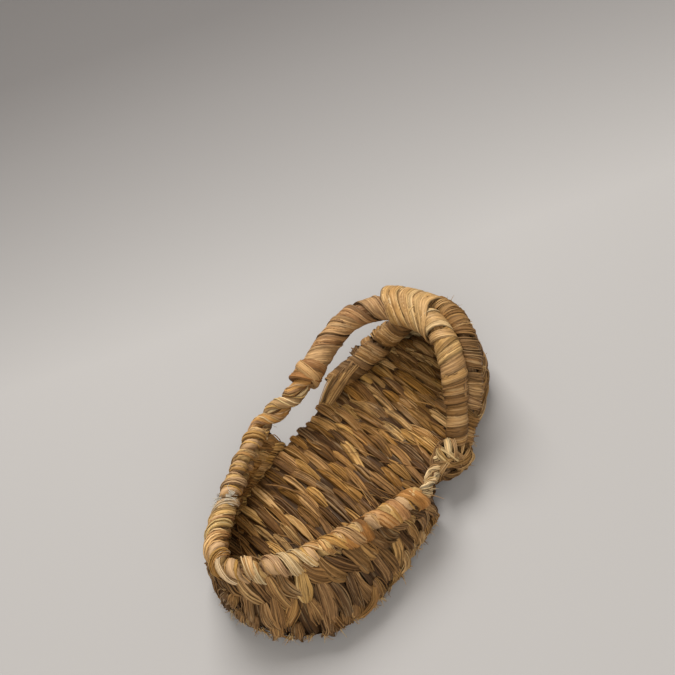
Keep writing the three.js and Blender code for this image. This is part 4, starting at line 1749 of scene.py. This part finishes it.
@dataclass
class ToeRim(SubAssembly):
    """The knobby rope that closes the toe wall, wrapped at the front and right with the wall's strands."""

    slot: str = "rope_straw"
    node: str = "toe_rim_cord"
    radius: float = 4.0
    section: Section = Section(3.1, 3.1)
    wrap_start: float = 0.76
    wisp: Span = (0.24, 0.29)
    rope: Rope = Rope(4.0, 12.4, strips=4, knob=0.46, tone=0.68, tone_spread=0.12)
    broad: Winding = Winding(
        5.0, 4.6, thick=1.4, slant=4.0, first_angle=-2.2, tone=0.55, tone_spread=0.22, wobble=1.0, stray=5.0)
    runs: tuple[FoldRun, ...] = (
        FoldRun(
            Lock(3.5, 2.2, strips=4, taper=(0.5, 0.7), twist=0.8, fray=0.14, tone=0.6, tone_spread=0.24),
            count=14, stretch=(0.29, 0.8), jitter=0.2, advance=(4, 10), first_angle=(-0.5, 0.6),
            turn=(3.0, 4.0), lift=(0.2, 0.9), width=(2.6, 4.4)),
        FoldRun(
            Lock(2.7, 2.2, strips=3, taper=(0.3, 0.4), twist=0.9, fray=0.06, tone=0.8, tone_spread=0.2),
            count=5, stretch=(0.02, 0.38), jitter=0.15, advance=(4, 9), first_angle=(-0.9, 0.2),
            turn=(3.2, 4.2), lift=(0.1, 0.6), width=(2.0, 3.4)),
    )

    def build(self) -> None:
        """Makes the rope, the strands folded over it and the wraps at its right end."""
        rim = self.last.rim
        rope = StrandSet(31)
        self.rope.lay(rope, rim)
        self.strips("toe_rim_rope", rope, ROPE_STRAW, 12, (0.35, 1.5))
        self.strips("toe_rim_folds", self._folds(), ROPE_STRAW, 12, (0.35, 1.5))
        self.strips("toe_rim_wisp", self._wisp(), BLEACHED_STRAW, 8)
        wraps = StrandSet(33)
        self.broad.lay(wraps, rim, self.wrap_start, 0.99, self.section)
        self.strips("toe_rim_wraps", wraps, KNOT_STRAW, 12, (0.2, 1.0))

    def _wisp(self) -> StrandSet:
        """Lays the whitish fibres that are caught on the left of the rope.

        Returns:
            The strands.
        """
        strands = StrandSet(34)
        rng = strands.rng
        for share in rng.uniform(self.wisp[0], self.wisp[1], 9):
            point, sideways, upright = self.last.rim.frame(share)
            angle = rng.uniform(0.6, 2.9)
            out = sideways * math.cos(angle) + upright * math.sin(angle)
            round_rope = np.cross(out, self.last.rim.tangent(share)) * rng.choice([-1.0, 1.0])
            way = unit(round_rope - 0.35 * out + rng.normal(0, 0.25, 3))
            strands.add_fray(point + out * (self.radius + 0.4), way, out, 5, 4.4, 0.3)
        return strands

    def _folds(self) -> StrandSet:
        """Lays locks from inside the shoe across the rope's lumps and down its outer side.

        Returns:
            The strands.
        """
        strands = StrandSet(32)
        rng = strands.rng
        rim = self.last.rim
        t = np.linspace(0, 1, 14)
        for run in self.runs:
            for i in range(run.count):
                place = between(run.stretch, (i + 0.5 + rng.normal(0, run.jitter)) / run.count)
                along = np.clip(place + rng.uniform(*run.advance) / rim.length * (t - 0.5), 0, 1)
                angle = rng.uniform(*run.first_angle) + rng.uniform(*run.turn) * t
                lift = run.lift[0] + rng.uniform(0, run.lift[1]) * arc(t)
                lock = replace(run.lock, width=rng.uniform(*run.width))
                strands.add_lock(*self.section.around(rim, along, angle, lift), lock)
        return strands


@dataclass
class HeelCounter(SubAssembly):
    """The low wall round the heel: leaning strands outside, crosswise floats inside, a wrapped top edge."""

    slot: str = "wall_straw"
    node: str = "heel_counter"
    strands: int = 22
    rib_start: float = 0.62
    edge_radius: float = 2.6
    loose_ends: int = 12

    def build(self) -> None:
        """Makes the core, both faces and the wrapped edge."""
        self._core()
        self.strips("counter_strands", self._outer(), WALL_STRAW, 12)
        self.strips("counter_lining_floats", self._inner(), WALL_STRAW, 12)
        self.strips("counter_edge_wraps", self._edge(), WALL_STRAW, 12)

    def _core(self) -> None:
        """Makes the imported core."""
        fence = self.last.counter
        along, share = np.meshgrid(np.linspace(0, 1, 81), np.linspace(0.02, 0.97, 9), indexing="ij")
        outer = fence.outer(along, share, 0.9)[0]
        inner = fence.inner(along, share, 0.9)[0]
        self.shell("counter_core", inner, outer, CORE_STRAW)

    def _outer(self) -> StrandSet:
        """Lays locks that lean one way above and the other way below.

        Returns:
            The strands.
        """
        strands = StrandSet(41)
        rng = strands.rng
        fence = self.last.counter
        t = np.linspace(0, 1, 12)
        for j in range(self.strands + 1):
            along = np.full(12, j / self.strands)
            strands.add_lock(*fence.outer(along, 0.95 - 0.88 * t, fence.thickness / 2 - 1.6), Lock(
                8.0, 1.6, strips=2, hairs=0, taper=(0.9, 0.9), twist=0.1, tone=0.2))
        for j in range(int(self.strands * self.rib_start) + 1):
            for high, low, first, final, out in ((0.96, 0.4, -0.5, 0.5, 0.5), (0.62, 0.08, 0.5, -0.4, 0.1)):
                middle = (j + rng.normal(0, 0.12)) / self.strands
                along = np.clip(middle + between((first, final), t) / self.strands, 0, 1)
                share = between((high, low), t)
                lift = fence.thickness / 2 - 0.9 + out * (1 - share ** 3) + 0.5 * arc(t)
                strands.add_lock(*fence.outer(along, share, lift), Lock(
                    5.4, 2.2, strips=4, taper=(0.5, 0.6), fray=0.1, tone=0.52, tone_spread=0.22))
        self._ribs(strands)
        strands.add_feet(fence, self.strands)
        return strands

    def _ribs(self, strands: StrandSet) -> None:
        """Lays level ribs round the right side, where the weft shows outside.

        Args:
            strands: The set that they go into.
        """
        rng = strands.rng
        fence = self.last.counter
        t = np.linspace(0, 1, 12)
        for tier in range(12):
            for j in range(4):
                middle = self.rib_start + 0.05 + 0.1 * (j + 0.5 * (tier % 2))
                along = np.clip(middle + 0.13 * (t - 0.5), 0, 1)
                top = fence.edge(along)[:, 2]
                share = (3.5 + 3.1 * tier + rng.normal(0, 0.3) - fence.foot_z) / (top - fence.foot_z)
                if np.max(share) > 0.95:
                    continue
                lift = fence.thickness / 2 - 0.4 + 0.6 * arc(t)
                strands.add_lock(*fence.outer(along, share, lift), Lock(
                    3.8, 2.4, strips=3, taper=(0.4, 0.4), tone=0.5))

    def _inner(self) -> StrandSet:
        """Lays crosswise floats, which carry the sole's weave up the wall.

        Returns:
            The strands.
        """
        strands = StrandSet(42)
        rng = strands.rng
        fence = self.last.counter
        t = np.linspace(0, 1, 13)
        for tier in range(13):
            for j in range(7):
                middle = (j + 0.5 * (tier % 2) + rng.normal(0, 0.06)) / 6.5
                along = middle + 0.19 * (t - 0.5)
                if middle < 0.02 or middle > 0.98:
                    continue
                along = np.clip(along, 0, 1)
                height = 9 + 2.7 * tier - 6 * (t - 0.5) + rng.normal(0, 0.3)
                top = fence.edge(along)[:, 2]
                share = (height - fence.foot_z) / (top - fence.foot_z)
                if np.mean(share) > 0.97 or np.min(top) < 9:
                    continue
                share = np.clip(share, 0.1, 1.0)
                # The floats' high tone is painted light on this shaded inner face
                strands.add_lock(*fence.inner(along, share, 1.0 + 1.1 * arc(t)), Lock(
                    5.0, 2.2, strips=4, taper=(0.3, 0.3), tone=0.88))
        return strands

    def _edge(self) -> StrandSet:
        """Winds flat strips round the wall's top edge.

        Returns:
            The strands.
        """
        strands = StrandSet(43)
        path = self.last.counter_edge
        centre, _, upright = path.frame(np.linspace(0, 1, 60))
        strands.add(centre, upright, 2.2, 2.2, 0.25)
        section = Section(self.edge_radius, self.edge_radius)
        left = Winding(
            4.8, 5.6, thick=1.3, slant=5.0, first_angle=-1.6, tone=0.44, tone_spread=0.12, wobble=0.7)
        thick = Section(self.edge_radius + 0.9, self.edge_radius + 0.5)
        left.lay(strands, path, 0.0, 0.44, thick, points=20)
        rng = strands.rng
        count = round(0.56 * path.length / 3.6)
        t = np.linspace(0, 1, 16)
        for i in range(count):
            place = between((0.44, 1.0), (i + 0.5 + rng.normal(0, 0.2)) / count)
            along = place - rng.uniform(2, 8) / path.length * (t - 0.5)
            angle = -1.7 + rng.normal(0, 0.2) + rng.uniform(4.6, 5.4) * t
            points, ways = section.around(path, np.clip(along, 0, 1), angle, 0.4 + 0.4 * arc(t))
            strands.add_lock(points, ways, Lock(
                rng.uniform(3.8, 5.6), 2.2, strips=4, taper=(0.6, 0.6), fray=0.06, tone=0.52))
            way = unit(ways[5] + rng.normal(0, 0.5, 3))
            strands.add_fray(points[5], way, unit(rng.normal(0, 1, 3)), 4, 3.2, 0.5)
        self._ends(strands, section)
        return strands

    def _ends(self, strands: StrandSet, section: Section) -> None:
        """Lays the loose ends of the left winding down on to the edge of the sole."""
        rng = strands.rng
        sole = self.last.sole
        t = np.linspace(0, 1, 10)
        for _ in range(self.loose_ends):
            share, angle = np.full(10, rng.uniform(0.02, 0.12)), np.full(10, rng.uniform(-0.2, 3.4))
            starts, ways = section.around(self.last.counter_edge, share, angle, 0.8)
            y = rng.uniform(17.0, 27.0)
            edge = float(sole.middle(y) - sole.half(y))
            finish = np.array([edge + rng.uniform(-0.5, 4.5), y, sole.thickness + rng.uniform(0.2, 1.0)])
            points = between((starts, finish), t[:, None])
            points[:, 2] += 1.4 * arc(t)
            strands.add_lock(points, unit(ways + np.array([-0.3, 0.0, 1.0])), Lock(
                rng.uniform(2.4, 4.2), 1.7, strips=3, taper=(0.8, 0.25), fray=0.12, tone=0.52))


@dataclass
class HeelStrap(SubAssembly):
    """The strap over the heel: a straw cord wrapped with broad flat strips."""

    slot: str = "wrap_straw"
    node: str = "heel_strap"
    radius: float = 3.7

    def build(self) -> None:
        """Makes the cord inside and the windings of each stretch."""
        path = self.last.strap
        section = Section(self.radius, self.radius)
        left = StrandSet(51)
        share = np.linspace(0, 0.5, 30)
        left.add(path.at(share), path.frame(share)[2], self.radius, self.radius, 0.2)
        broad = Winding(7.6, 7.4, thick=0.9, slant=13.0, first_angle=-2.4, tone=0.58, tone_spread=0.08)
        broad.lay(left, path, -0.05, 0.38, section)
        # The left leg's darker finish is painted shade
        self.strips("heel_strap_left_wraps", left, SHADED_BROWN_WRAP, 14, (0.1, 0.8), 0.3)
        right = StrandSet(52)
        share = np.linspace(0.5, 1, 30)
        thin = self.radius - 1.1 * smooth((share - 0.72) / 0.2)
        right.add(path.at(share), path.frame(share)[2], thin, thin, 0.4)
        ladder = Winding(
            3.1, 3.7, thick=1.0, slant=-10.0, first_angle=-2.2, tone=0.62, tone_spread=0.12, wobble=0.3)
        ladder.lay(right, path, 0.46, 0.655, section)
        middle = Winding(4.6, 7.4, thick=0.9, slant=1.5, first_angle=-2.2, tone=0.48, tone_spread=0.1)
        middle.lay(right, path, 0.615, 0.775, section)
        t = np.linspace(0, 1, 12)
        at, way = section.around(path, 0.735 + 0.11 * t, 0.35 + 0.3 * t, 0.8 - 0.5 * t)
        right.add(at, way, 1.3 * (1 - 0.4 * t), 0.5, 0.2)
        self.strips("heel_strap_right_wraps", right, WRAP_STRAW, 14, (0.1, 0.8), 0.3)
        low = StrandSet(53)
        for first, final, radius in ((0.765, 0.86, self.radius - 0.5), (0.86, 1.0, self.radius - 1.0)):
            lower = Winding(
                3.6, 4.6, thick=1.2, slant=2.0, first_angle=-2.2, tone=0.36, tone_spread=0.09, wobble=0.6)
            lower.lay(low, path, first, final, Section(radius, radius))
        self.strips("heel_strap_low_wraps", low, WALL_STRAW, 12, (0.15, 0.8), 0.3)


@dataclass
class StrapBinding(SubAssembly):
    """The broad fan of smooth strips that binds the strap to the top of the counter."""

    slot: str = "wrap_straw"
    node: str = "strap_binding"
    top: Span = (0.336, 0.513)
    low: Span = (0.362, 0.605)
    leaves: int = 51
    section: Section = Section(7.6, 5.5, 2.6, 0.8)

    def build(self) -> None:
        """Makes the packing, and the strips that spread over the top and gather in front on the right."""
        strands = StrandSet(61)
        rng = strands.rng
        path = self.last.strap
        share = np.linspace(self.top[0] + 0.02, self.top[1] - 0.01, 12)
        centre, sideways, upright = path.frame(share)
        round_off = np.sqrt(1 - np.linspace(-0.75, 0.75, 12) ** 2)
        middle = centre + sideways * self.section.back - upright * self.section.drop
        strands.add(middle, upright, 7.2 * round_off, 5.0 * round_off, 0.3)
        t = np.linspace(0, 1, 34)
        for m in range(self.leaves):
            spread = np.clip((m % 17 + 0.5 + rng.normal(0, 0.3)) / 17, 0, 1)
            first = between(self.top, spread)
            final = between(self.low, spread ** 0.62)
            angle = -0.9 + rng.normal(0, 0.15) + 6.0 * t
            draw = smooth((angle - 1.3) / 2.0)
            along = between((first, final), draw)
            at, way = self.section.around(path, along, angle, 0.25 + 0.5 * rng.uniform(0, 1))
            width = rng.uniform(0.6, 2.0) * (1 - (0.1 + 0.6 * spread) * draw)
            strands.add(at, way, width, 0.3, 0.62 + rng.normal(0, 0.08), True)
        self.strips("strap_binding_fan", strands, WRAP_STRAW, 12, (0.12, 0.8), 0.25)


@dataclass
class StrapKnot(SubAssembly):
    """The lashing at one end of the strap."""

    side: Side = field(kw_only=True)
    slot: str = "knot_straw"
    radius: float = 4.6
    waist: float = 3.3
    strays: int = 44

    def build(self) -> None:
        """Makes the crossed lashings and their loose ends."""
        strands = StrandSet(71 if self.side is Side.LEFT else 72)
        path = self.last.knots[self.side]
        share = np.linspace(0, 1, 14)
        swell = between((self.waist, self.radius), arc(share))
        strands.add(path.at(share), path.frame(share)[2], swell - 0.5, swell - 0.5, 0.2)
        if self.side is Side.LEFT:
            for pitch, slant, out in ((2.8, 8.0, 0.0), (5.0, -7.0, 0.5)):
                bands = Winding(
                    pitch, 3.6, thick=1.5, slant=slant, first_angle=-2.0, tone=0.55, tone_spread=0.2,
                    stray=3.0)
                reach = self.radius - 0.5 + out
                bands.lay(strands, path, 0.05, 0.95, Section(reach, reach), points=24)
        else:
            self._tangle(strands, path)
        end, onward = path.at(1.0), path.tangent(1.0)
        strands.add_fray(end - onward * 2, unit(onward + 0.5 * UP), UP, 12, 5.0, 0.5)
        finish = KNOT_STRAW if self.side is Side.LEFT else WALL_STRAW
        self.node = f"strap_knot_{self.side.value}"
        self.strips(self.node + "_lashing", strands, finish, 12)

    def _tangle(self, strands: StrandSet, path: Path) -> None:
        """Lays strips that cross the knot in all directions."""
        rng = strands.rng
        t = np.linspace(0, 1, 14)
        centre = path.at(0.32)
        onward, sideways, upright = path.tangent(0.5), *path.frame(0.5)[1:]
        for _ in range(self.strays):
            first, last = unit(rng.normal(0, 1, (2, 3)))
            turn = math.acos(float(np.clip(first @ last, -0.99, 0.99)))
            way = np.sin((1 - t) * turn)[:, None] * first + np.sin(t * turn)[:, None] * last
            way = way / math.sin(turn)
            bulge = 1 + rng.uniform(0.0, 0.35) * arc(t)[:, None]
            ball = way * bulge * np.array([self.radius + 3.2, self.radius + 0.4, self.radius + 0.4])
            axes = np.stack([onward, sideways, upright])
            strands.add_lock(centre + ball @ axes, unit(way @ axes), Lock(
                rng.uniform(1.6, 3.2), 1.3, strips=3, taper=(0.5, 0.5), fray=0.2, tone=0.66,
                tone_spread=0.25))


@dataclass
class TieCord(SubAssembly):
    """The thin two-ply cord from a knot to the end of the rim, frayed at both ends."""

    side: Side = field(kw_only=True)
    slot: str = "rope_straw"

    def build(self) -> None:
        """Makes the plies and the frayed ends."""
        strands = StrandSet(81 if self.side is Side.LEFT else 82)
        path = self.last.tie(self.side)
        left = self.side is Side.LEFT
        radius, pitch, tone = (4.2, 21.0, 0.5) if left else (2.5, 18.0, 0.8)
        Rope(radius, pitch, strips=6, knob=0.08, tone=tone, tone_spread=0.25).lay(strands, path)
        for share, way in ((0.16, 1.0), (0.84, -1.0)):
            strands.add_fray(path.at(share), path.tangent(share) * way, UP, 14, 5.5, 0.4)
        self.node = f"tie_cord_{self.side.value}"
        self.strips(self.node + "_plies", strands, ROPE_STRAW if left else WRAP_STRAW, 8)


# Floor, light and camera

@dataclass
class Studio:
    """A pale floor that sweeps up at the back, soft light and the camera."""

    lens_mm: float = 48.39
    camera_at: tuple[float, float, float] = (157.366, -138.727, 287.847)
    right: tuple[float, float, float] = (0.81795, 0.52989, -0.22397)
    down: tuple[float, float, float] = (0.26603, -0.69360, -0.66943)
    forward: tuple[float, float, float] = (-0.51007, 0.48798, -0.70831)
    sweep_at: float = 0.13
    sweep_radius: float = 0.24
    floor_half: float = 2.0

    def build(self, shift: Array) -> None:
        """Makes the camera, the lights and the floor.

        Args:
            shift: From the sandal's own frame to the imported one, in millimetres.
        """
        self._camera(shift)
        self._lights()
        self._floor()

    def _camera(self, shift: Array) -> None:
        """Sets the camera."""
        data = bpy.data.cameras.new("camera")
        data.lens = self.lens_mm
        data.sensor_width = 36.0
        data.clip_start = 0.01
        camera = bpy.data.objects.new("camera", data)
        bpy.context.scene.collection.objects.link(camera)
        axes = [Vector(self.right), -Vector(self.down), -Vector(self.forward)]
        turn = Matrix([[axis[row] for axis in axes] for row in range(3)]).to_4x4()
        place = (np.array(self.camera_at) + shift) * MM
        camera.matrix_world = Matrix.Translation(Vector(place.tolist())) @ turn
        bpy.context.scene.camera = camera

    def _lights(self) -> None:
        """Hangs a broad key light, a fill and an even pale surround."""
        for name, place, size, power in (
            ("key_light", (-0.35, 0.35, 0.9), 0.6, 11.0), ("fill_light", (0.6, -0.6, 0.7), 0.9, 7.0),
        ):
            data = bpy.data.lights.new(name, "AREA")
            data.size = size
            data.energy = power
            lamp = bpy.data.objects.new(name, data)
            bpy.context.scene.collection.objects.link(lamp)
            lamp.location = place
            lamp.rotation_euler = (-Vector(place)).to_track_quat("-Z", "Y").to_euler()
        world = bpy.data.worlds.new("studio_surround")
        world.use_nodes = True
        world.node_tree.nodes["Background"].inputs["Color"].default_value = linear("#D9D6D2")
        world.node_tree.nodes["Background"].inputs["Strength"].default_value = 0.48
        bpy.context.scene.world = world
        bpy.context.scene.view_settings.view_transform = "Standard"

    def _floor(self) -> None:
        """Lays the floor, which sweeps up into a backdrop behind the sandal, with painted shade that darkens
        it towards the back.
        """
        ahead = unit(np.array([self.forward[0], self.forward[1], 0.0]))
        beside = np.array([-ahead[1], ahead[0], 0.0])
        turn = np.linspace(0, math.radians(80), 24)
        reach = np.concatenate([[-3.0], self.sweep_at + self.sweep_radius * np.sin(turn)])
        rise = np.concatenate([[0.0], self.sweep_radius * (1 - np.cos(turn))])
        sides = (self.floor_half, -self.floor_half)
        points = [ahead * d + beside * side + UP * z for d, z in zip(reach, rise) for side in sides]
        faces = [(2 * i, 2 * i + 1, 2 * i + 3, 2 * i + 2) for i in range(len(reach) - 1)]
        mesh = bpy.data.meshes.new("floor")
        mesh.from_pydata([p.tolist() for p in points], [], faces)
        mesh.shade_smooth()
        depth = mesh.attributes.new("depth", "FLOAT", "POINT")
        depth.data.foreach_set("value", np.repeat(reach, 2).astype(np.float32))
        material = bpy.data.materials.new("matt_paper_floor")
        material.use_nodes = True
        tree = material.node_tree
        shader = tree.nodes["Principled BSDF"]
        far = add_node(tree, "ShaderNodeAttribute", attribute_name="depth").outputs["Fac"]
        # Painted shade: the paper darkens towards the back and up the sweep
        painted_shade = add_node(tree, "ShaderNodeMapRange", {
            "Value": far, "From Min": self.sweep_at - 0.02, "From Max": self.sweep_at + 0.16})
        paper = add_node(tree, "ShaderNodeMix", {
            "Factor": painted_shade, "A": linear("#A8A4A0"), "B": linear("#76726F")}, data_type="RGBA")
        tree.links.new(paper.outputs["Result"], shader.inputs["Base Color"])
        shader.inputs["Roughness"].default_value = 0.85
        mesh.materials.append(material)
        floor = bpy.data.objects.new("floor", mesh)
        bpy.context.scene.collection.objects.link(floor)


def main() -> None:
    """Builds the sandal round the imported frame."""
    logging.basicConfig(level=logging.INFO, format="%(message)s")
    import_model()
    last = Last()
    shop = Workshop(last, Finishes())
    Studio().build(shop.shift)
    pieces: list[SubAssembly] = [
        kind(last, shop) for kind in (SoleMat, ToeWall, ToeRim, HeelCounter, HeelStrap, StrapBinding)]
    pieces += [kind(last, shop, side=side) for kind in (StrapKnot, TieCord) for side in Side]
    for piece in pieces:
        piece.build()


if __name__ == "__main__":
    main()
